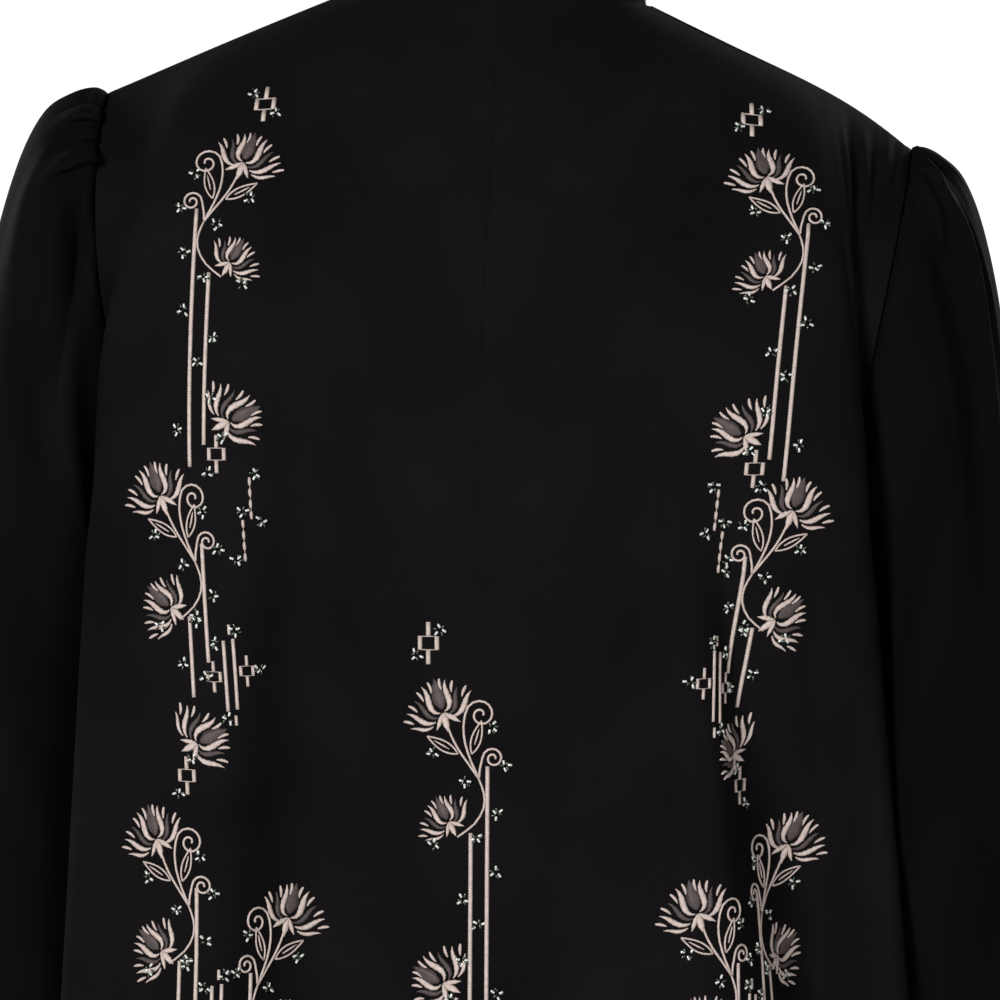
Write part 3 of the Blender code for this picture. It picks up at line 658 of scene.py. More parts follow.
# The ridges and hollows that run down from the pleats, and the creases in the crook of the elbow. The columns
# are those of the body's creases, with the stage in place of "down".
SLEEVE_CREASES = {
    LEFT: (
        (0.365, 0.110, 0.030, 0.100, 0.85, 0.0050),
        (0.460, 0.090, 0.045, 0.080, 0.85, -0.0080),
        (0.600, 0.150, 0.045, 0.080, 0.60, 0.0050),
        (0.250, 0.120, 0.030, 0.090, 0.90, -0.0022),
        (0.52, 0.40, 0.030, 0.11, 0.20, -0.0013),
        (-0.40, 0.60, 0.110, 0.022, 4.0, -0.0028),
        (-0.46, 0.67, 0.100, 0.020, -3.2, -0.0024),
        (-0.30, 0.54, 0.090, 0.018, -3.6, 0.0018),
        (0.46, 0.64, 0.090, 0.022, 3.0, -0.0016),
        (0.60, 0.76, 0.080, 0.026, -2.2, 0.0014),
        (-0.56, 0.80, 0.090, 0.026, 2.6, -0.0016),
        (0.34, 0.90, 0.060, 0.060, 0.5, -0.0014),
    ),
    RIGHT: (
        (0.09, 0.060, 0.013, 0.060, 1.00, 0.0032),
        (0.165, 0.250, 0.016, 0.130, 0.10, 0.0034),
        (0.125, 0.190, 0.018, 0.110, 0.30, -0.0024),
        (0.185, 0.085, 0.014, 0.050, 0.80, 0.0026),
        (0.22, 0.045, 0.030, 0.026, 0.90, -0.0026),
        (0.20, 0.34, 0.020, 0.13, 0.10, 0.0014),
        (0.46, 0.32, 0.030, 0.10, 0.30, -0.0012),
        (-0.38, 0.58, 0.110, 0.020, 3.6, -0.0026),
        (-0.44, 0.66, 0.100, 0.022, -3.4, -0.0024),
        (-0.28, 0.72, 0.080, 0.020, 3.0, 0.0016),
        (0.50, 0.62, 0.090, 0.020, -3.0, -0.0015),
        (0.62, 0.74, 0.080, 0.024, 2.4, 0.0014),
        (-0.54, 0.84, 0.090, 0.026, -2.4, -0.0016),
        (0.30, 0.88, 0.060, 0.060, -0.4, -0.0014),
    ),
}


def sleeve_base(side, stage, around):
    """A sleeve ring without folds. around is 0 at the head and 1 at the underarm seam, negative in front."""
    face = BACK if around >= 0 else FRONT
    share = min(abs(around), 1.0)
    row = table_at(SLEEVE_COLUMNS, SLEEVE_SECTIONS, stage)
    outer = SHOULDER_POINT + Vector((row["outer_x"] * SLEEVE_SPREAD[side], 0.0, row["outer_z"]))
    held = smooth_step((stage - HELD_STAGES[0]) / (HELD_STAGES[1] - HELD_STAGES[0]))
    inner = UNDERARM_POINT + Vector((row["inner_x"] - HELD_IN[side] * held, 0.0, row["inner_z"]))
    turn = math.pi * share
    round_point = outer.lerp(inner, (1.0 - math.cos(turn)) / 2)
    round_point.y = row["centre_y"] + HELD_BACK[side] * held + face * row["half_depth"] * math.sin(turn)
    fitted_depth = ARMHOLE_HALF_DEPTH[face] + row["half_depth"] - SLEEVE_HEAD_HALF_DEPTH
    power = ARMHOLE_POWER[side]
    fitted_point = Vector((blend(outer.x, inner.x, share**power["x"]) + ARMHOLE_BOW[side] * math.sin(turn),
                           face * fitted_depth * math.sin(math.pi * share**power["y"]),
                           blend(outer.z, inner.z, share**power["z"])))
    return fitted_point.lerp(round_point, smooth_step(stage / ROUND_STAGE))


def seam_distance(side, around):
    """Distance along the armhole seam from the shoulder point."""
    face = BACK if around >= 0 else FRONT
    stops = [armhole(side, face, abs(around) * i / SEAM_STEPS) for i in range(SEAM_STEPS + 1)]
    return sum((after - before).length for before, after in zip(stops, stops[1:]))


def sleeve_fold_depth(side, stage, around):
    """How far the long folds move a sleeve's cloth outwards."""
    total = 0.0
    for at, half_width, start, full, end, depth in SLEEVE_FOLDS[side]:
        rising = smooth_step((stage - start) / (full - start))
        falling = smooth_step((stage - full) / (end - full))
        total += depth * (rising * (1.0 - falling)) * bump(around - at, half_width)
    return total


def sleeve_point(side, stage, stop):
    """A point of a sleeve's outer face, with its pleats, folds and creases."""
    around, folded, pleat, height = stop
    depth = 0.0
    if pleat is not None:
        lift, full, gone = PLEATS[side][pleat][2:]
        standing = smooth_step(stage / PLEAT_RISE_STAGE) * (1.0 - smooth_step((stage - full) / (gone - full)))
        around = blend(around, folded, standing)
        depth = lift * height * standing * blend(PLEAT_SEAM_SHARE, 1.0, smooth_step(stage / PLEAT_OPEN_STAGE))
    point = sleeve_base(side, stage, around)
    depth += sleeve_fold_depth(side, stage, around) + crease_depth(SLEEVE_CREASES[side], around, stage)
    if depth:
        before = max(stage - STEP, 0.0)
        round_step = sleeve_base(side, stage, around + STEP) - sleeve_base(side, stage, around - STEP)
        stage_step = sleeve_base(side, stage + STEP, around) - sleeve_base(side, before, around)
        point += stage_step.cross(round_step).normalized() * depth
    point.x *= side
    return posed(point)


print("sleeves:", len(PLEATS[LEFT]), "pleats on each half of the head")

# %% [markdown]
# ## Cloth from a grid
#
# Every piece starts as Blender's plain grid, whose points are then moved onto the form. The edges are pushed
# in a little with rounded shoulders, as cloth does where it turns under into a seam or a hem, so that two
# pieces side by side show a fine dark groove between them. Where a seam would let light through, a strip of
# seam allowance runs on under the next piece. The lengths along the grid become the UV map, so a pattern on
# it is at its real size. A Solidify modifier gives the cloth its thickness.

# %% Cloth shells
CLOTH = 0.0012
ARMHOLE_GAP = 0.0002
TURN_UNDER, TURN_WIDTH = 0.0011, 0.0036  # how far an edge is pushed in, and over what width
CENTRE_TURN = 0.22  # how much of that, at the pressed seam down the centre of the back
ALLOWANCE, ALLOWANCE_DROP = 0.0030, 0.0020  # the strip beyond a seam, and how far its edge lies inside
EDGE_LINES = (0.0, 0.0006, 0.0014, 0.0024, 0.0038)  # grid lines at these distances from an edge


def edged_stops(first, last, count, first_step=None, last_step=None):
    """Even stops from first to last, with close ones along an edge whose metres per unit are given."""
    head = [first + line / first_step for line in EDGE_LINES] if first_step else [first]
    tail = [last - line / last_step for line in reversed(EDGE_LINES)] if last_step else [last]
    inner = [blend(head[-1], tail[0], i / count) for i in range(1, count)]
    return head + inner + tail


def lengths(points, axis):
    """Distances along a grid of points, from its first line across the given axis."""
    steps = np.linalg.norm(np.diff(points, axis=axis), axis=2)
    zero = np.zeros_like(np.take(steps, [0], axis=axis))
    return np.concatenate([zero, np.cumsum(steps, axis=axis)], axis=axis)


def outward(points, flip):
    """The surface's outward direction at each point of a grid."""
    normals = np.cross(np.gradient(points, axis=1), np.gradient(points, axis=0))
    normals /= np.linalg.norm(normals, axis=2, keepdims=True)
    return normals * (-1.0 if flip else 1.0)


def turned_under(points, normals, closed, first_column):
    """The grid with its free edges pushed in. A closed tube has free edges only at its two ends."""
    across, down = lengths(points, 1), lengths(points, 0)
    near = [down, down[-1:] - down] if closed else [across, across[:, -1:] - across, down, down[-1:] - down]
    shares = [np.clip(1.0 - reach / TURN_WIDTH, 0.0, 1.0)**2 for reach in near]
    if not closed:
        shares[0] *= first_column
    return points - normals * TURN_UNDER * np.maximum.reduce(shares)[:, :, None]


def with_allowance(points, normals, axis, last=False):
    """The grid with one more line at an edge: the seam allowance, which runs on under the next piece."""
    edge, inner = (-1, -2) if last else (0, 1)
    line, behind, out = (np.take(grid, [place], axis=axis)
                         for grid, place in ((points, edge), (points, inner), (normals, edge)))
    away = (line - behind) / np.linalg.norm(line - behind, axis=2, keepdims=True)
    allowance = line + away * ALLOWANCE - out * ALLOWANCE_DROP
    return np.concatenate([points, allowance] if last else [allowance, points], axis=axis)


def cloth_shell(name, points, flip, material, closed=False, first_column=1.0, allowances=()):
    """A thin wall of cloth on rows of points. allowances names the edges that have one: (axis, is last)."""
    normals = outward(points, flip)
    laid = turned_under(points, normals, closed, first_column)
    for axis, last in allowances:
        laid = with_allowance(laid, outward(laid, flip), axis, last)
    rows, columns = laid.shape[0] - 1, laid.shape[1] - 1
    across, down = lengths(laid, 1), lengths(laid, 0)
    sheet = bmesh.new()
    uv = sheet.loops.layers.uv.new("cloth")
    bmesh.ops.create_grid(sheet, x_segments=columns, y_segments=rows, size=1.0)
    for vert in sheet.verts:
        column, row = round((vert.co.x + 1.0) / 2 * columns), round((vert.co.y + 1.0) / 2 * rows)
        for loop in vert.link_loops:
            loop[uv].uv = (across[row, column], down[row, column])
        vert.co = laid[row, column]
    if closed:
        bmesh.ops.remove_doubles(sheet, verts=sheet.verts, dist=1e-6)
    if flip:
        bmesh.ops.reverse_faces(sheet, faces=sheet.faces)
    mesh = bpy.data.meshes.new(name)
    sheet.to_mesh(mesh)
    sheet.free()
    mesh.shade_smooth()
    mesh.materials.append(material)
    piece = placed(name, mesh)
    wall = piece.modifiers.new("wall", "SOLIDIFY")
    wall.thickness = CLOTH
    wall.offset = -1.0
    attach(piece, "root")
    print(f"{name}: {len(mesh.polygons)} faces, {across.max():.3f} x {down.max():.3f} m along the cloth")
    return piece


# %% [markdown]
# ## Back and fronts
#
# The two back panels are joined down the middle, and each meets a front at the shoulder and down the side.
# The fronts have free edges, turned under like the hem. The grid's lines stand closer together above the
# underarm, where the small creases are.

# %% Body panels
# Metres for each whole number along the grid, near its four edges.
CENTRE_STEP, SIDE_STEP, ROW_STEP, HEM_STEP = 0.11, 0.08, 0.28, 1.10
TOP_START = (0.000125, 0.000208)  # the row that a panel starts at, at the centre and at the side
NECK_PARTS, SHOULDER_PARTS = {BACK: 18, FRONT: 14}, {BACK: 74, FRONT: 58}
YOKE_ROWS, SKIRT_ROWS = {BACK: 66, FRONT: 54}, {BACK: 96, FRONT: 84}
# The ridges that run down from the neck points are eased out of the cloth: fully down to SOFT_FULL from the
# top edge, not at all past SOFT_END, and less nearer than SOFT_EDGE to an edge.
SOFT_ROUNDS, SOFT_EDGE, SOFT_FULL, SOFT_END = 120, 0.020, 0.12, 0.30


def softened(grid):
    """The grid with the ridges of its upper part eased along each row. Its edges stay where they are."""
    across, down = lengths(grid, 1), lengths(grid, 0)
    near = np.minimum.reduce([across, across[:, -1:] - across, down])
    ease = np.clip(near / SOFT_EDGE, 0.0, 1.0) * np.clip((SOFT_END - down) / (SOFT_END - SOFT_FULL), 0.0, 1.0)
    for _ in range(SOFT_ROUNDS):
        middle = (grid[:, :-2] + grid[:, 2:]) / 2
        grid[:, 1:-1] += (middle - grid[:, 1:-1]) * ease[:, 1:-1, None] / 2
    return grid


def creased(grid, side, face, columns):
    """The grid with the body's creases raised and sunk in it."""
    rings = [side * (at if face == BACK else 2 * SIDE - at) for at in columns]
    depths = [[crease_depth(BODY_CREASES, ring_at, -point[2]) for ring_at, point in zip(rings, line)]
              for line in grid]
    return grid + outward(grid, side * face < 0) * np.array(depths)[:, :, None]


def body_grid(side, face):
    """The outer face of half of the back, or of one front, as rows of points from the top edge to the hem."""
    last = SIDE - ARMHOLE_GAP / 2 / SIDE_STEP
    columns = edged_stops(0.0, NECK_END, NECK_PARTS[face], first_step=CENTRE_STEP)
    columns += edged_stops(NECK_END, last, SHOULDER_PARTS[face], last_step=SIDE_STEP)[1:]
    rows = edged_stops(0.0, 1.0, YOKE_ROWS[face], first_step=ROW_STEP)
    rows += edged_stops(1.0, 2.0, SKIRT_ROWS[face], last_step=HEM_STEP)[1:]
    grid = []
    for row in rows:
        line = []
        for at in columns:
            top = blend(*TOP_START, at / SIDE)
            line.append(body_point(side, face, at, blend(top, 1.0, row) if row < 1.0 else row))
        grid.append(line)
    return creased(softened(np.array(grid)), side, face, columns)


FIRST_ROW, FIRST_COLUMN, LAST_COLUMN = (0, False), (1, False), (1, True)
panels, panel_grids = {}, {}
for face, word in ((BACK, "back"), (FRONT, "front")):
    for side, hand in ((LEFT, "left"), (RIGHT, "right")):
        name = f"{word}_{hand}"
        panel_grids[name] = body_grid(side, face)
        allowances = ([FIRST_ROW, LAST_COLUMN] if face == FRONT else [FIRST_COLUMN] if side == LEFT else [])
        panels[name] = cloth_shell(f"{name}_cloth", panel_grids[name], side * face < 0, body_crepe,
                                   CENTRE_TURN if face == BACK else 1.0, allowances=allowances)
        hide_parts(name)

# %% [markdown]
# ## Sleeves
#
# The grid's lengthwise lines follow the pleats, eleven to each, so that every folded edge and the hollow
# under it have lines of their own. The tube is closed along the underarm seam, and open at the armhole and
# the cuff.

# %% Sleeves
PLAIN_PARTS = 40  # below the last pleat, on each half
SEAM_SAMPLES = 800
STAGE_STEP, CUFF_STEP = 0.12, 0.70  # metres to a whole stage, near the armhole and near the cuff
SLEEVE_ROWS = 84
SLEEVE_ROW_POWER = 1.45  # above 1, so that the rows stand closer together near the pleats


def sleeve_stops(side):
    """A sleeve's lengthwise lines: where each meets the armhole, and how it lies in its pleat."""
    halves = {}
    for face in (BACK, FRONT):
        shares = [i / SEAM_SAMPLES for i in range(1, SEAM_SAMPLES + 1)]
        reached = [seam_distance(side, face * share) for share in shares]

        def around_at(distance):
            return face * float(np.interp(distance, reached, shares))

        half = []
        for pleat, (upper, lower, *_) in enumerate(PLEATS[side]):
            lapped = LAPPED[side][pleat]
            for flat, folded, lapped_height, ridge_height in PLEAT_SECTION:
                laid = blend(flat, folded, lapped)
                half.append((around_at(blend(upper, lower, flat)), around_at(blend(upper, lower, laid)),
                             pleat, blend(ridge_height, lapped_height, lapped)))
        last = around_at(PLEATS[side][-1][1])
        half += [(blend(last, face, i / PLAIN_PARTS), 0.0, None, 0.0) for i in range(PLAIN_PARTS + 1)]
        halves[face] = half
    return halves[FRONT][::-1] + halves[BACK]


def sleeve_grid(side):
    """A sleeve's outer face, as rows of points from the armhole to the cuff."""
    stops = sleeve_stops(side)
    start = ARMHOLE_GAP / 2 / STAGE_STEP
    rows = edged_stops(start, 1.0, SLEEVE_ROWS, first_step=STAGE_STEP, last_step=CUFF_STEP)
    first, last = rows[len(EDGE_LINES) - 1], rows[-len(EDGE_LINES)]
    eased = [blend(first, last, ((row - first) / (last - first))**SLEEVE_ROW_POWER)
             if first < row < last else row for row in rows]
    return np.array([[sleeve_point(side, stage, stop) for stop in stops] for stage in eased])


sleeve_grids = {}
for side, hand in ((LEFT, "left"), (RIGHT, "right")):
    name = f"sleeve_{hand}"
    sleeve_grids[name] = sleeve_grid(side)
    panels[name] = cloth_shell(f"{name}_cloth", sleeve_grids[name], side > 0, sleeve_painted_shade_crepe, closed=True,
                               allowances=[FIRST_ROW])
    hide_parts(name)

# %% [markdown]
# ## Neck band
#
# A narrow stand finishes the neck. It is a strip folded in two, so its top edge is round, and it leans in a
# little towards the neck.

# %% Neck band
BAND_PARTS, BAND_ROWS = 150, 4
BAND_LENGTH = 0.44


def band_point(u, v):
    """A point of the neck band: u from the left end round the back to the right end, v up its height."""
    turn = 2 * (2 * u - 1)
    side = LEFT if turn >= 0 else RIGHT
    reach = abs(turn)
    if reach <= 1.0:
        seat = neck_seam(BACK, reach)
    else:
        seat = neck_seam(FRONT, 2.0 - reach)
        seat.x += OPENING_HALF_GAP[0] * (reach - 1.0)
    seat.x *= side
    seat.x -= seat.x * NECK_BAND_LEAN * v
    seat.y -= seat.y * NECK_BAND_LEAN * v
    seat.z += NECK_BAND_LIFT + NECK_BAND_HEIGHT * v
    return posed(seat)


band_columns = edged_stops(0.0, 1.0, BAND_PARTS, first_step=BAND_LENGTH, last_step=BAND_LENGTH)
band_rows = edged_stops(0.0, 1.0, BAND_ROWS, first_step=NECK_BAND_HEIGHT, last_step=NECK_BAND_HEIGHT)
band_grid = np.array([[band_point(u, v) for u in band_columns] for v in band_rows])
panels["neck_band"] = cloth_shell("neck_band_cloth", band_grid, True, body_crepe, allowances=[FIRST_ROW])
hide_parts("neck_band")

# %% [markdown]
# ## The back, laid out flat
#
# Embroidery is stitched while the cloth is flat, so it is drawn here in flat measures too. A chart gives the
# point of the hanging cloth at any distance to the side of the centre seam and down from the chest, both
# measured along the cloth. Whatever is placed through the chart keeps its size and follows every fold.

# %% Chart of the back
LEVEL_STEP, CHART_STEP = 0.004, 0.002
CHART_TOP_Z, CHART_FOOT_Z, CHART_ZERO_Z = -0.030, -1.386, -0.300
CHART_WIDTH = 0.42
CHART_UP, CHART_DOWN = -0.290, 1.120  # how far the chart reaches from its zero
CHART_INSIDE = 1.001  # a place is kept this many steps from the chart's far edges


def unrolled(grid):
    """The points of one back panel and their outward directions, even along the cloth both ways."""
    levels = np.arange(CHART_TOP_Z, CHART_FOOT_Z, -LEVEL_STEP)
    rings = np.array([[np.interp(-levels, -column[:, 2], column[:, axis]) for axis in range(3)]
                      for column in grid.transpose(1, 0, 2)]).transpose(2, 0, 1)
    across = np.arange(0.0, CHART_WIDTH, CHART_STEP)
    reach = lengths(rings, 1)
    even = np.array([[np.interp(across, reach[i], ring[:, axis]) for axis in range(3)]
                     for i, ring in enumerate(rings)]).transpose(0, 2, 1)
    fall = lengths(even, 0)
    zero = int(round((CHART_TOP_Z - CHART_ZERO_Z) / LEVEL_STEP))
    down = np.arange(CHART_UP, CHART_DOWN, CHART_STEP)
    chart = np.array([[np.interp(down, fall[:, j] - fall[zero, j], even[:, j, axis]) for axis in range(3)]
                      for j in range(len(across))]).transpose(2, 0, 1)
    out = np.cross(np.gradient(chart, axis=0), np.gradient(chart, axis=1))
    size = np.linalg.norm(out, axis=2, keepdims=True)
    out /= np.where(size > 0.0, size, 1.0)
    return np.concatenate([chart, out * np.where(out[:, :, 1:2] < 0.0, -1.0, 1.0)], axis=2)


charts = {LEFT: unrolled(panel_grids["back_left"]), RIGHT: unrolled(panel_grids["back_right"])}


def on_cloth(flat):
    """Points of the cloth and their outward directions, for rows of (left of the centre seam, down)."""
    rows, columns = charts[LEFT].shape[:2]
    row = np.clip((flat[:, 1] - CHART_UP) / CHART_STEP, 0.0, rows - CHART_INSIDE)
    column = np.clip(np.abs(flat[:, 0]) / CHART_STEP, 0.0, columns - CHART_INSIDE)
    i, j = row.astype(int), column.astype(int)
    di, dj = (row - i)[:, None], (column - j)[:, None]
    found = []
    for side in (LEFT, RIGHT):
        chart = charts[side]
        found.append((chart[i, j] * (1 - dj) + chart[i, j + 1] * dj) * (1 - di)
                     + (chart[i + 1, j] * (1 - dj) + chart[i + 1, j + 1] * dj) * di)
    place = np.where(flat[:, :1] >= 0.0, found[0], found[1])
    return place[:, :3], place[:, 3:]


print("chart:", charts[LEFT].shape[:2], "points for each half of the back")

# %% [markdown]
# ## Thread
#
# The embroidery is satin stitch: thread laid side by side across a shape until it stands up in a smooth pad
# about 0.7 mm high. Its gloss comes from the thread, a bright rayon, and its edge is slightly toothed, where
# each stitch goes down into the cloth. The stitches are drawn 0.8 mm apart, twice their real width, so that
# they show, and the colour is darkened between them as painted shade.

# %% Thread
STITCH_PITCH = 0.0008
# The stitches' share is painted shade in the grooves between them. The unevenness is the thread's own tone.
STITCH_SHADE_SHARE = 0.45  # how much the stitches change the colour, against 1 for the unevenness
PATCHES_PER_METRE = 260.0  # each is 4 mm across
STITCH_RELIEF = 0.00012


def thread(name, dark, light, gloss):
    """Rayon thread in satin stitch. The stroke's length runs along the first axis of its UV map."""
    material, tree, shader = new_material(name, {
        "Roughness": gloss, "Specular IOR Level": 0.35, "Sheen Weight": 0.08})
    run = add(tree, "ShaderNodeUVMap", uv_map="stitch").outputs["UV"]
    stitches = add(tree, "ShaderNodeTexWave",
                   {"Vector": run, "Scale": WAVE_PERIOD / STITCH_PITCH,
                    "Distortion": 1.2, "Detail": 1.0, "Detail Scale": 1.5}, bands_direction="X")
    uneven = add(tree, "ShaderNodeTexNoise", {"Vector": run, "Scale": PATCHES_PER_METRE, "Detail": 2.0})
    # The stitch bands darken the colour between the stitches as painted shade, over the thread's own uneven
    # tone.
    shade = add(tree, "ShaderNodeMath",
                {0: stitches.outputs["Fac"], 1: STITCH_SHADE_SHARE, 2: uneven.outputs["Fac"]},
                operation="MULTIPLY_ADD")
    colour = add(tree, "ShaderNodeMixRGB",
                 {"Fac": shade.outputs["Value"], "Color1": linear(dark), "Color2": linear(light)})
    ridges = add(tree, "ShaderNodeBump",
                 {"Height": stitches.outputs["Fac"], "Strength": 0.6, "Distance": STITCH_RELIEF})
    tree.links.new(colour.outputs["Color"], shader.inputs["Base Color"])
    tree.links.new(ridges.outputs["Normal"], shader.inputs["Normal"])
    return material


pale_thread = thread("pale_rayon_thread", "#9c877f", "#dccbc3", 0.42)
dark_thread = thread("taupe_rayon_thread", "#2b2425", "#564b4a", 0.48)
print("threads:", pale_thread.name, dark_thread.name)

# %% [markdown]
# ## Strokes
#
# Every shape is a stroke: a line down its middle and a width along it. A petal is a stroke that swells and
# comes to a point, a stem is a thin even one, and a bar is a straight one with flat ends. They are drawn in
# millimetres, to the right and up, round the point where a spray's stems meet.

# %% Strokes
PALE, DARK = "pale", "dark"
STEM_HALF_WIDTH, STEM_HEIGHT = 0.65, 0.6
BAR_HALF_WIDTH, BAR_HEIGHT, BAR_PITCH = 1.15, 0.7, 5.0


def stroke(line, half_widths, height, colour=PALE):
    line, half = np.array(line, float), np.array(half_widths, float)
    return {"line": line, "half": half, "height": height, "colour": colour}


def smooth_line(points, count):
    """A smooth line of a given number of points through a few."""
    keys = range(len(points))
    return [tuple(curve_through(keys, [point[axis] for point in points], at) for axis in (0, 1))
            for at in np.linspace(0.0, len(points) - 1.0, count)]


def stem(points, count, half_width=STEM_HALF_WIDTH):
    return stroke(smooth_line(points, count), [half_width] * count, STEM_HEIGHT)


def bar(x, top, foot, half_width=BAR_HALF_WIDTH, pitch=BAR_PITCH):
    """An upright bar with flat ends."""
    count = max(2, int(round((top - foot) / pitch)) + 1)
    return stroke([(x, y) for y in np.linspace(top, foot, count)], [half_width] * count, BAR_HEIGHT)


def turned(strokes, tilt, base, size=1.0):
    """Strokes turned clockwise by tilt degrees about their origin, then moved to base."""
    turn = math.radians(tilt)
    spin = np.array([[math.cos(turn), -math.sin(turn)], [math.sin(turn), math.cos(turn)]]) * size
    return [{**each, "line": each["line"] @ spin + np.array(base), "half": each["half"] * size}
            for each in strokes]


print("a bar of 100 mm has", len(bar(0.0, 100.0, 0.0)["line"]), "stations")

# %% [markdown]
# ## A bloom
#
# The flower is seen from the side, like an open water lily: petals fan out from one point, each leaving
# sideways and curling up, with an almond-shaped dark petal in the middle and a slim dark one on each side.
# Short strokes fill the gaps between the tips, and three sepals close the foot. One rule draws each petal,
# from its place in the fan.

# %% Bloom
PETALS = (  # place in the fan, thread, fullness, length
    (1.06, PALE, 1.05, 12.5), (0.77, PALE, 1.50, 16.5), (0.49, DARK, 1.35, 15.5), (0.20, PALE, 1.75, 17.5),
    (-0.12, PALE, 1.65, 17.0), (-0.38, DARK, 1.35, 15.0), (-0.64, PALE, 1.50, 16.5),
)
# A petal's direction in degrees at four shares of its length: an upright one's, and what a full spread adds.
COURSE_AT = (0.0, 0.30, 0.60, 1.0)
COURSES = ((84.0, 26.0), (4.0, 79.0), (-17.0, 77.0), (22.0, 58.0))
ROOT_ASIDE, ROOT_UP = (0.2, 6.0), (0.6, -6.4)  # where it starts, and what a full spread adds
PETAL_STEPS = 40
PETAL_TOOTH = 0.07  # how much a petal's edge steps in and out from stitch to stitch
TIP_STROKES = (0.92, 0.63, 0.34, 0.06, -0.01, -0.26, -0.52)
TIP_LENGTH, TIP_FULLNESS, TIP_REACH = 17.5, 0.9, (0.66, 1.06)
MIDDLE_LENGTH, MIDDLE_FULLNESS, MIDDLE_FOOT = 15.5, 3.7, 1.2
SEPALS = ((146.0, 1.3, 9.0), (-133.0, 1.5, 9.5), (180.0, 2.0, 9.5))  # direction, fullness, length
SEPAL_FOOT, SEPAL_START = (0.0, -0.6), 0.5
PETAL_COUNT, TIP_COUNT, MIDDLE_COUNT, SEPAL_COUNT = 13, 6, 11, 7  # stations along each
PETAL_HEIGHT, TIP_HEIGHT, MIDDLE_HEIGHT, SEPAL_HEIGHT = 0.7, 0.6, 0.8, 0.75
PETAL_BELLY, SEPAL_BELLY = 0.48, 0.42
MIDDLE_SHAPE = {"belly": 0.34, "foot": 1.0, "tip": 0.1, "tooth": 0.03}


def petal_line(place, length, first, last, count):
    """The middle of a petal at a place in the fan, -1 to 1, between two shares of its length."""
    lean = math.copysign(1.0, place)
    spread = abs(place)
    courses = [lean * (upright + added * spread) for upright, added in COURSES]
    shares = np.linspace(0.0, 1.0, PETAL_STEPS + 1)
    course = np.radians([curve_through(COURSE_AT, courses, share) for share in shares])
    steps = np.stack([np.sin(course), np.cos(course)], axis=1) * length / PETAL_STEPS
    whole = np.concatenate([[[0.0, 0.0]], np.cumsum((steps[1:] + steps[:-1]) / 2, axis=0)])
    whole += np.array([lean * (ROOT_ASIDE[0] + ROOT_ASIDE[1] * spread), ROOT_UP[0] + ROOT_UP[1] * spread])
    reach = np.linspace(first, last, count)
    return np.stack([np.interp(reach, shares, whole[:, axis]) for axis in range(2)], axis=1)


def petal_widths(full, count, belly=0.45, foot=0.3, tip=0.16, tooth=PETAL_TOOTH):
    """Half widths that swell to the belly and narrow to the tip, toothed from stitch to stitch."""
    widths = []
    for i, share in enumerate(np.linspace(0.0, 1.0, count)):
        rise = share / belly if share < belly else (1.0 - share) / (1.0 - belly)
        end = foot if share < belly else tip
        widths.append(blend(end, full, math.sin(rise * math.pi / 2)) * (1.0 + tooth * (-1)**i))
    return widths


def bloom(tilt, base, size=1.0, mirror=False):
    """One flower, its foot at base."""
    strokes = []
    for place, colour, fullness, length in PETALS:
        line = petal_line(place, length, 0.0, 1.0, PETAL_COUNT)
        strokes.append(stroke(line, petal_widths(fullness, PETAL_COUNT, PETAL_BELLY), PETAL_HEIGHT, colour))
    for place in TIP_STROKES:
        line = petal_line(place, TIP_LENGTH, *TIP_REACH, TIP_COUNT)
        strokes.append(stroke(line, petal_widths(TIP_FULLNESS, TIP_COUNT, tooth=0.0), TIP_HEIGHT))
    line = [(0.0, MIDDLE_FOOT + MIDDLE_LENGTH * share) for share in np.linspace(0.0, 1.0, MIDDLE_COUNT)]
    widths = petal_widths(MIDDLE_FULLNESS, MIDDLE_COUNT, **MIDDLE_SHAPE)
    strokes.append(stroke(line, widths, MIDDLE_HEIGHT, DARK))
    for direction, fullness, length in SEPALS:
        way = np.array([math.sin(math.radians(direction)), math.cos(math.radians(direction))])
        reach = SEPAL_START + length * np.linspace(0.0, 1.0, SEPAL_COUNT)
        widths = petal_widths(fullness, SEPAL_COUNT, SEPAL_BELLY)
        strokes.append(stroke([SEPAL_FOOT + way * far for far in reach], widths, SEPAL_HEIGHT))
    if mirror:
        strokes = [{**each, "line": each["line"] * np.array([-1.0, 1.0])} for each in strokes]
    return turned(strokes, tilt, base, size)


print("bloom:", len(bloom(0.0, (0.0, 0.0))), "strokes")

# %% [markdown]
# ## Tendrils, leaves and small ornaments
#
# A tendril leaves the stem, rises and winds in on itself. A leaf is only an outline with one short vein.
# Between the sprays stand small geometric ornaments: four short bars round an open square, a broken chain of
# stitches, and a pair of bars between two small squares.

# %% Tendrils, leaves and ornaments
CURL_TURNS, CURL_END_RADIUS = 1.55, 1.0
CURL_CLOSING = 0.9  # below 1, so that a curl's stations stand closer together at its end
TENDRIL_COUNT, CURL_COUNT, LEAF_COUNT = 9, 26, 9  # stations
LEAF_HALF_WIDTH, LEAF_EDGE_HALF_WIDTH, LEAF_HEIGHT, LEAF_BELLY = 2.4, 0.5, 0.5, 0.85
VEIN_AT, VEIN_HALF_WIDTHS = (0.28, 0.46, 0.64, 0.76), (0.28, 0.5, 0.42, 0.18)
SQUARE_BARS = ((0.0, 7.0), (-4.4, 0.0), (4.4, 0.0), (0.0, -7.0))
SQUARE_BAR_REACH, SQUARE_BAR_HALF_WIDTH, SQUARE_BAR_PITCH = 3.4, 1.3, 3.0
JOINS, JOIN_REACH, JOIN_HALF_WIDTH, JOIN_HEIGHT = (-3.3, 3.3), 3.6, 0.26, 0.4
DASH_PITCH, DASH_LENGTH, DASH_HALF_WIDTHS, DASH_HEIGHT = 5.6, 3.8, (0.7, 0.95, 0.7), 0.7
CHAIN_TAIL, CHAIN_HALF_WIDTH, CHAIN_HEIGHT = 2.0, 0.22, 0.35
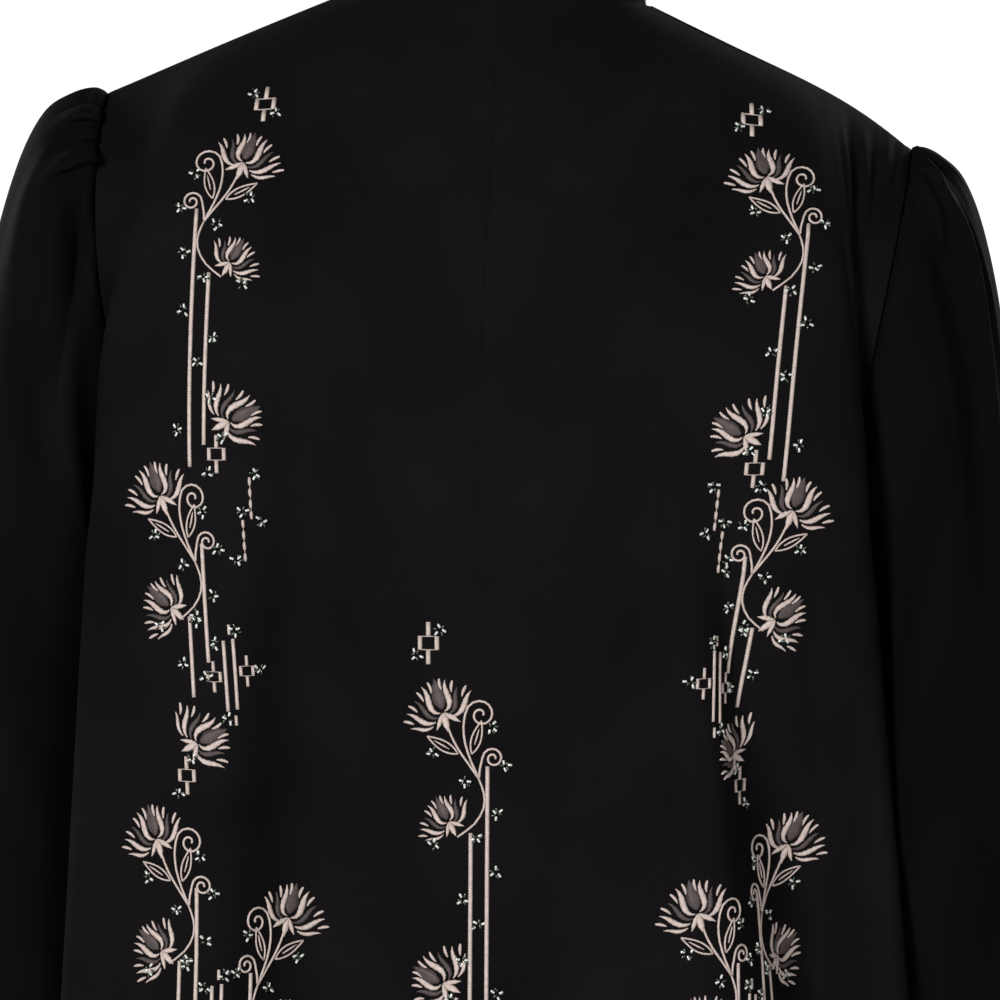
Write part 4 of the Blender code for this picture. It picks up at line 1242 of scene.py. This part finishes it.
PAIR_BARS = (  # aside, top, foot, half width, pitch
    (-2.4, 0.0, -35.0, 1.0, 5.0), (2.4, -1.0, -36.0, 1.0, 5.0),
    (-0.8, 7.0, 2.0, 0.9, 3.0), (-1.4, -38.0, -43.0, 0.9, 3.0),
)
PAIR_SQUARES, PAIR_SQUARE_SIZE = ((-8.6, -16.0), (8.4, -19.0)), 0.74


def tendril(points, centre, radius):
    """A stem through points that winds anticlockwise into a spiral, starting on the spiral's right."""
    winding = []
    for share in np.linspace(0.0, 1.0, CURL_COUNT)**CURL_CLOSING:
        turn, reach = 2 * math.pi * CURL_TURNS * share, blend(radius, CURL_END_RADIUS, share)
        winding.append((centre[0] + reach * math.cos(turn), centre[1] + reach * math.sin(turn)))
    line = smooth_line([*points, winding[0]], TENDRIL_COUNT)[:-1] + winding
    return stroke(line, [STEM_HALF_WIDTH] * len(line), STEM_HEIGHT)


def leaf(base, tip):
    """The outline of an almond-shaped leaf with one short vein."""
    base, tip = np.array(base), np.array(tip)
    along = tip - base
    aside = np.array([-along[1], along[0]]) / np.linalg.norm(along)
    strokes = []
    for side in (-1, 1):
        edge = [base + along * share + aside * side * LEAF_HALF_WIDTH * math.sin(math.pi * share**LEAF_BELLY)
                for share in np.linspace(0.0, 1.0, LEAF_COUNT)]
        strokes.append(stroke(edge, [LEAF_EDGE_HALF_WIDTH] * LEAF_COUNT, LEAF_HEIGHT))
    return strokes + [stroke([base + along * share for share in VEIN_AT], VEIN_HALF_WIDTHS, LEAF_HEIGHT)]


def open_square(centre, size=1.0):
    """Four short bars round an open square, joined by fine lines."""
    strokes = [bar(x, y + SQUARE_BAR_REACH, y - SQUARE_BAR_REACH, SQUARE_BAR_HALF_WIDTH, SQUARE_BAR_PITCH)
               for x, y in SQUARE_BARS]
    for y in JOINS:
        line = [(x, y) for x in (-JOIN_REACH, 0.0, JOIN_REACH)]
        strokes.append(stroke(line, [JOIN_HALF_WIDTH] * 3, JOIN_HEIGHT))
    return turned(strokes, 0.0, centre, size)


def broken_chain(x, top, dashes):
    """Short thick stitches in a row, joined by a fine line."""
    strokes = []
    for number in range(dashes):
        line = [(x, top - DASH_PITCH * number - DASH_LENGTH * share) for share in (0.0, 0.5, 1.0)]
        strokes.append(stroke(line, DASH_HALF_WIDTHS, DASH_HEIGHT))
    foot = top - DASH_PITCH * dashes + CHAIN_TAIL
    return strokes + [stroke([(x, top), (x, foot)], [CHAIN_HALF_WIDTH] * 2, CHAIN_HEIGHT)]


def paired_bars(x, top):
    """Two bars side by side between two small open squares."""
    strokes = [bar(x + aside, top + head, top + foot, half_width, pitch)
               for aside, head, foot, half_width, pitch in PAIR_BARS]
    for aside, up in PAIR_SQUARES:
        strokes += open_square((x + aside, top + up), PAIR_SQUARE_SIZE)
    return strokes


print("open square:", len(open_square((0.0, 0.0))), "bars and lines")

# %% [markdown]
# ## Sprays
#
# A spray is a long stem with a bloom, two tendrils and two leaves, and a second stem that drops to another
# bloom. Two bars hang below it, with a third bloom, laid over to the side, near their foot. On some sprays
# the bars are long. On the others they are short, the second bloom is larger, and a pair of bars with squares
# stands beside them. Beads are sewn in small sprigs beside the curls and bars.

# %% Sprays
SPRAY = (bloom(16.0, (18.0, 33.0))
         + leaf((3.4, 12.0), (-1.4, 28.5)) + leaf((10.2, 12.0), (26.0, 20.5))
         + [stem(((0.0, 0.0), (4.6, 6.5), (9.6, 13.5), (13.2, 20.0), (15.6, 26.0)), 10),
            tendril(((0.0, 0.5), (3.8, 8.5), (6.8, 17.5), (7.6, 25.5)), (-1.0, 31.5), 7.8),
            tendril(((-0.3, 0.5), (-0.6, 4.5), (-1.4, 8.0)), (-7.2, 10.0), 5.4),
            stem(((0.0, 0.0), (-2.6, -7.0), (-2.6, -14.5), (2.0, -22.5), (10.4, -29.0)), 9, 0.6)])
BELOW_LONG = bloom(28.0, (15.0, -21.0), 0.8) + [bar(-4.4, 6.0, -124.0), bar(3.8, -27.0, -113.0)]
BELOW_SHORT = (bloom(52.0, (16.0, -23.0), 0.95) + [bar(-4.3, 9.0, -50.0), bar(4.8, -27.5, -67.5)]
               + paired_bars(-15.0, -38.0))
LONE_BLOOM = bloom(64.0, (0.0, 0.0), mirror=True) + open_square((-7.4, -16.5), 0.9)
AFTER_LONG, AFTER_SHORT = (18.0, -101.0), (3.5, -90.0)  # where the lone bloom's foot is
ABOVE = (25.5, 66.5)  # where an open square stands over a column's first spray
CHAINS, CHAIN_DASHES = ((27.0, -129.0), (22.5, -150.0)), 4
SPRAY_SPRIGS = ((-6.6, 25.0), (23.0, 12.5), (-13.2, 6.5), (6.6, -2.0), (-9.4, -17.0), (1.0, -29.5),
                (22.0, -33.0))
LONG_SPRIGS = ((-8.6, -46.0), (7.6, -60.0), (-0.4, -72.0), (7.4, -90.0), (-10.4, -106.0))
SHORT_SPRIGS = ((0.5, -27.0), (-8.4, -40.0), (9.7, -51.0), (-3.0, -57.0), (-30.5, -53.0), (-19.0, -34.0),
                (-12.0, -77.5))
LONE_SPRIGS = ((-4.0, -8.0), (-12.0, -25.5))
SQUARE_SPRIGS = ((-6.2, 6.4), (6.2, -6.0))
CHAIN_SPRIGS = ((2.8, 1.5), (-4.4, -16.5), (4.6, -22.0), (-8.6, -41.0))
print("spray:", len(SPRAY), "strokes")

# %% [markdown]
# ## Where the sprays stand
#
# Five columns of sprays hang down the back: one on each side from the shoulder, one in the middle from below
# the shoulder blades, and one inside each side column from the waist. Each goes on at the same pace nearly to
# the hem, and its sprays face now in and now out.

# %% Columns
# The first spray's stems meet at the first of "asides" and at "down" on the chart, in millimetres. The asides
# and the turns are taken in order, over and over. "drift" is how far aside the column moves on its way, and
# "lean" how far what hangs below a junction strays to the left for each millimetre down. "turns" says which
# way a spray faces: 1 has its bloom to the right. "lone" is the way that its lone bloom points, or 0 for the
# way that the spray faces. A spray that faces the other way has short bars. "above" adds an open square over
# the first spray.
COLUMN_COLUMNS = ("name", "asides", "down", "drift", "lean", "turns", "lone", "above")
COLUMNS = (
    ("left_side", (142.0, 146.0, 156.0), -191.0, 86.0, 0.0, (1, -1, -1), 1, True),
    ("right_side", (-155.0, -140.0, -159.0), -186.0, -84.0, 0.06, (-1, 1, 1), -1, True),
    ("centre", (-2.0,), 86.0, 0.0, 0.0, (-1, 1), 0, True),
    ("left_inner", (121.0,), 190.0, -24.0, 0.0, (1, -1), 1, False),
    ("right_inner", (-130.0,), 184.0, 28.0, 0.0, (-1, 1), -1, False),
)
SPRAY_PITCH = 171.0
DRIFT_FROM, DRIFT_OVER = 100.0, 640.0  # the stretch over which a column moves aside
LAST_DOWN = 1060.0  # nothing is stitched below this


def hung(points, aside, down, facing, lean):
    """Points moved from a spray's millimetres onto the chart, in metres."""
    points = np.array(points, float)
    strayed = aside - facing * points[:, 0] - lean * np.minimum(points[:, 1], 0.0)
    return np.stack([strayed, down - points[:, 1]], axis=1) / 1000.0


def moved(points, base, mirror):
    return [(base[0] + mirror * x, base[1] + y) for x, y in points]


def in_turn(choices, number):
    """The choice for a spray of this number, from a list that is taken over and over."""
    return choices[number % len(choices)]


def spray_parts(number, column):
    """The strokes and the sprigs of one spray of a column, in the spray's own millimetres."""
    facing, following = in_turn(column["turns"], number), in_turn(column["turns"], number + 1)
    if column["lone"] in (0, facing):
        below, sprigs_below, foot, mirror = BELOW_LONG, LONG_SPRIGS, AFTER_LONG, 1
    else:
        below, sprigs_below, foot, mirror = BELOW_SHORT, SHORT_SPRIGS, AFTER_SHORT, -1
    lone = [{**each, "line": np.array(moved(each["line"], foot, mirror))} for each in LONE_BLOOM]
    strokes = [*SPRAY, *below, *lone]
    marks = [*SPRAY_SPRIGS, *sprigs_below, *moved(LONE_SPRIGS, foot, mirror)]
    if number == 0 and column["above"]:
        strokes += open_square(ABOVE)
        marks += moved(SQUARE_SPRIGS, ABOVE, 1)
    if below is BELOW_LONG and facing != following:
        for aside, top in CHAINS:
            strokes += broken_chain(aside, top, CHAIN_DASHES)
        marks += moved(CHAIN_SPRIGS, CHAINS[0], 1)
    return strokes, marks


embroidery, sprigs = {}, []
for row in COLUMNS:
    column = dict(zip(COLUMN_COLUMNS, row))
    strokes = []
    for number in range(int((LAST_DOWN - column["down"]) // SPRAY_PITCH) + 1):
        down = column["down"] + SPRAY_PITCH * number
        facing = in_turn(column["turns"], number)
        aside = in_turn(column["asides"], number)
        aside += column["drift"] * smooth_step((down - DRIFT_FROM) / DRIFT_OVER)
        pieces, marks = spray_parts(number, column)
        spot = (aside, down, facing, column["lean"])
        strokes += [{**each, "line": hung(each["line"], *spot), "half": each["half"] / 1000.0}
                    for each in pieces if down - each["line"][:, 1].min() < LAST_DOWN]
        sprigs += [tuple(mark) for mark in hung(marks, *spot) if mark[1] < LAST_DOWN / 1000.0]
    embroidery[column["name"]] = strokes
print("strokes:", {name: len(strokes) for name, strokes in embroidery.items()}, "and", len(sprigs), "sprigs")

# %% [markdown]
# ## Stitching the strokes onto the cloth
#
# Each stroke becomes a low closed pad with its back just inside the cloth. Its section has five corners,
# which smooth shading rounds. There are hundreds of strokes in a column, so their points are worked out
# together as arrays, and all strokes of one thread in one column are joined in one mesh.

# %% Stitching
SECTION_ACROSS = np.array([-1.0, -0.45, 0.45, 1.0, 0.0])  # shares of the half width
SECTION_CROWN = np.array([0.0, 1.0, 1.0, 0.0, 0.0])  # shares of the height
SECTION_SUNK = np.array([-0.0001, 0.0, 0.0, -0.0001, -0.0005])  # metres
CORNERS = len(SECTION_ACROSS)


def run_along(line):
    """Each point's distance along a line."""
    return np.concatenate([[0.0], np.cumsum(np.linalg.norm(np.diff(line, axis=0), axis=1))])


def tube_faces(start, rings, corners):
    """The faces of a closed tube with flat ends, whose rings of points are numbered on from start."""
    faces = []
    for low in range(start, start + (rings - 1) * corners, corners):
        for corner in range(corners):
            after = (corner + 1) % corners
            faces.append((low + corner, low + after, low + corners + after, low + corners + corner))
    last = start + (rings - 1) * corners
    return faces + [tuple(range(start + corners - 1, start - 1, -1)), tuple(range(last, last + corners))]


def joined_mesh(name, vertices, faces, material):
    """One smooth mesh object from arrays, riding on the cloak."""
    mesh = bpy.data.meshes.new(name)
    mesh.from_pydata(vertices.tolist(), [], faces)
    mesh.shade_smooth()
    mesh.materials.append(material)
    piece = placed(name, mesh)
    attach(piece, "root")
    return piece


def stitched(name, strokes, material):
    """All strokes of one thread, padded up on the cloth."""
    flat, lifts, marks, faces, count = [], [], [], [], 0
    for each in strokes:
        line, half = each["line"], each["half"]
        way = np.gradient(line, axis=0)
        way /= np.linalg.norm(way, axis=1, keepdims=True)
        aside = np.stack([-way[:, 1], way[:, 0]], axis=1)
        across = half[:, None] * SECTION_ACROSS
        spots = line[:, None, :] + aside[:, None, :] * across[:, :, None]
        flat.append(spots.reshape(-1, 2))
        lifts.append(np.tile(SECTION_CROWN * each["height"] / 1000.0 + SECTION_SUNK, len(line)))
        marks.append(np.stack(np.broadcast_arrays(run_along(line)[:, None], across), axis=2).reshape(-1, 2))
        faces += tube_faces(count, len(line), CORNERS)
        count += len(line) * CORNERS
    points, out = on_cloth(np.concatenate(flat))
    piece = joined_mesh(name, points + out * np.concatenate(lifts)[:, None], faces, material)
    uv = piece.data.uv_layers.new(name="stitch")
    corners = np.empty(len(piece.data.loops), dtype=np.int32)
    piece.data.loops.foreach_get("vertex_index", corners)
    uv.data.foreach_set("uv", np.concatenate(marks)[corners].astype(np.float32).ravel())
    print(f"{name}: {len(strokes)} strokes, {len(faces)} faces")
    return piece


stitchwork = []
for name, strokes in embroidery.items():
    for colour, material in ((PALE, pale_thread), (DARK, dark_thread)):
        chosen = [each for each in strokes if each["colour"] == colour]
        stitchwork.append(stitched(f"{name}_{colour}_stitching", chosen, material))

# %% [markdown]
# ## Beads
#
# A sprig is six short glass bugles round a point, sewn down flat. Half are silver-lined, so they flash white,
# and the others are dark green. They were sewn by hand, so no two sprigs lie quite alike. Each bead is a
# six-sided barrel of four rings.

# %% Beads
BUGLE_LENGTH, BUGLE_RADIUS = 0.0022, 0.00066
SILVER_PLACES = ((12.0, 0.0021), (128.0, 0.0018), (236.0, 0.0025))  # direction in degrees, distance out
GREEN_PLACES = ((70.0, 0.0019), (182.0, 0.0023), (304.0, 0.0017))
SPRIG_TURN = 137.5  # from one sprig to the next
WANDER_TURN, WANDER_OUT = 26.0, 0.0005  # how far a bead strays from its place
BARREL = ((-1.0, 0.72), (-0.78, 1.0), (0.78, 1.0), (1.0, 0.72))  # along the bead, and its radius there
BEAD_SIDES = 6
BEAD_STANDS = 0.85  # how far its middle is from the cloth, in radii
STREAKS_PER_METRE = 900.0  # each is 1.1 mm across


def glass(name, colour, roughness, metallic):
    """Drawn glass: a hard clear coat over its colour, which is a little uneven."""
    material, tree, shader = new_material(name, {
        "Roughness": roughness, "Metallic": metallic, "Coat Weight": 1.0, "Coat Roughness": 0.06})
    place = add(tree, "ShaderNodeTexCoord").outputs["Object"]
    streaks = add(tree, "ShaderNodeTexNoise", {"Vector": place, "Scale": STREAKS_PER_METRE, "Detail": 2.0})
    tint = add(tree, "ShaderNodeMixRGB", {"Fac": streaks.outputs["Fac"], "Color1": linear(colour[0]),
                                          "Color2": linear(colour[1])})
    tree.links.new(tint.outputs["Color"], shader.inputs["Base Color"])
    return material


def spokes(across, out, sides):
    """Directions spread evenly round an axis, from two that are square to it and to each other."""
    angles = [2 * math.pi * side / sides for side in range(sides)]
    return [across * math.cos(angle) + out * math.sin(angle) for angle in angles]


def sewn_beads(name, places, material, seed):
    """One colour of bead in every sprig."""
    stray = np.random.default_rng(seed)
    flat, ways = [], []
    for number, (aside, down) in enumerate(sprigs):
        for turn, reach in places:
            angle = math.radians(turn + SPRIG_TURN * number + stray.uniform(-WANDER_TURN, WANDER_TURN))
            lie = angle + math.radians(stray.uniform(-WANDER_TURN, WANDER_TURN))
            out_to = reach + stray.uniform(-WANDER_OUT, WANDER_OUT)
            flat.append((aside + math.cos(angle) * out_to, down + math.sin(angle) * out_to))
            ways.append((math.cos(lie), math.sin(lie)))
    flat, ways = np.array(flat), np.array(ways)
    middle, out = on_cloth(flat)
    ends = on_cloth(flat + ways * BUGLE_LENGTH / 2)[0]
    axis = (ends - middle) / np.linalg.norm(ends - middle, axis=1, keepdims=True)
    ways_round = spokes(np.cross(out, axis), out, BEAD_SIDES)
    rings = []
    for share, wide in BARREL:
        centre = middle + out * BUGLE_RADIUS * BEAD_STANDS + axis * share * BUGLE_LENGTH / 2
        rings += [centre + spoke * BUGLE_RADIUS * wide for spoke in ways_round]
    faces = []
    for number in range(len(flat)):
        faces += tube_faces(number * len(rings), len(BARREL), BEAD_SIDES)
    piece = joined_mesh(name, np.stack(rings, axis=1).reshape(-1, 3), faces, material)
    print(f"{name}: {len(flat)} beads")
    return piece


silver_glass = glass("silver_lined_glass", ("#aab5a4", "#fdfefa"), 0.2, 0.15)
green_glass = glass("dark_green_glass", ("#121a14", "#2c3a2e"), 0.14, 0.0)
stitchwork.append(sewn_beads("silver_beads", SILVER_PLACES, silver_glass, 3))
stitchwork.append(sewn_beads("green_beads", GREEN_PLACES, green_glass, 4))

# %% [markdown]
# ## Sewing
#
# A row of black machine stitches holds each turned edge: round the hem, the cuffs and the front edges, and
# along the foot of the neck band. Each stitch is a short thread lying on the cloth, pulled in at both ends.

# %% Sewing
STITCH_LENGTH, STITCH_GAP, STITCH_RADIUS = 0.0026, 0.0009, 0.00022
HEM_WIDTH, FRONT_HEM_WIDTH, CUFF_WIDTH, BAND_SEWN = 0.018, 0.012, 0.014, 0.0022
STITCH_AT, STITCH_STANDS = (0.0, 0.25, 0.75, 1.0), (-0.6, 0.9, 0.9, -0.6)  # places, and heights in radii
STITCH_SIDES = 4


def inside_edge(grid, flip, axis, last, distance):
    """The line that runs along a grid's edge at a distance inside it, and the outward directions on it."""
    lines, outs = grid, outward(grid, flip)
    if axis == 1:
        lines, outs = lines.transpose(1, 0, 2), outs.transpose(1, 0, 2)
    reach = lengths(lines, 0)
    if last:
        reach = reach[-1:] - reach
        lines, outs, reach = lines[::-1], outs[::-1], reach[::-1]
    found = [[np.interp(distance, reach[:, j], values[:, j, part]) for part in range(3)]
             for j in range(lines.shape[1]) for values in (lines, outs)]
    return np.array(found[0::2]), np.array(found[1::2])


def machine_stitches(name, rows, material):
    """Every stitch of some rows, as one joined mesh. Each row is its points and their outward directions."""
    vertices, faces = [], []
    for points, outs in rows:
        run = run_along(points)
        starts = np.arange(STITCH_GAP, run[-1] - STITCH_LENGTH, STITCH_LENGTH + STITCH_GAP)
        for start in starts:
            stops = start + STITCH_LENGTH * np.array(STITCH_AT)
            middle = np.stack([np.interp(stops, run, points[:, part]) for part in range(3)], axis=1)
            out = np.array([np.interp(start, run, outs[:, part]) for part in range(3)])
            along = (middle[-1] - middle[0]) / np.linalg.norm(middle[-1] - middle[0])
            ways_round = spokes(np.cross(along, out), out, STITCH_SIDES)
            faces += tube_faces(len(vertices), len(STITCH_AT), STITCH_SIDES)
            for spot, stands in zip(middle, STITCH_STANDS):
                centre = spot + out * stands * STITCH_RADIUS
                vertices += [centre + spoke * STITCH_RADIUS for spoke in ways_round]
    piece = joined_mesh(name, np.array(vertices), faces, material)
    print(f"{name}: {len(vertices) // (len(STITCH_AT) * STITCH_SIDES)} stitches")
    return piece


sewing_thread = thread("black_sewing_thread", "#0a0a0a", "#1c1b1c", 0.5)
sewing = {}
for name, grid in panel_grids.items():
    side, face = (LEFT if name.endswith("left") else RIGHT), (BACK if name.startswith("back") else FRONT)
    sewn_rows = [inside_edge(grid, side * face < 0, 0, True, HEM_WIDTH)]
    if face == FRONT:
        sewn_rows.append(inside_edge(grid, side * face < 0, 1, False, FRONT_HEM_WIDTH))
    sewing[name] = machine_stitches(f"{name}_sewing", sewn_rows, sewing_thread)
for name, grid in sleeve_grids.items():
    cuff = inside_edge(grid, name.endswith("left"), 0, True, CUFF_WIDTH)
    sewing[name] = machine_stitches(f"{name}_sewing", [cuff], sewing_thread)
band_foot = inside_edge(band_grid, True, 0, False, BAND_SEWN)
sewing["neck_band"] = machine_stitches("neck_band_sewing", [band_foot], sewing_thread)

# %% [markdown]
# ## Cut sizes
#
# The flat sheet that each piece was cut from is listed here: the width and length of the piece of cloth
# that shows, and its area, since none but the neck band is near a rectangle.

# %% Cut sizes
SHEETS = {  # width, length and area of the cut, in metres and square metres
    "back_left": (0.550, 1.440, 0.530), "back_right": (0.550, 1.440, 0.530),
    "front_left": (0.520, 1.450, 0.455), "front_right": (0.520, 1.450, 0.455),
    "sleeve_left": (0.600, 0.610, 0.184), "sleeve_right": (0.600, 0.610, 0.184),
    "neck_band": (0.450, 0.015, 0.0065),
}
ON_CLOTH = {name: [sewing[name]] for name in SHEETS}
ON_CLOTH["back_left"] += [piece for piece in stitchwork if not piece.name.startswith("right")]
ON_CLOTH["back_right"] += [piece for piece in stitchwork if piece.name.startswith("right")]
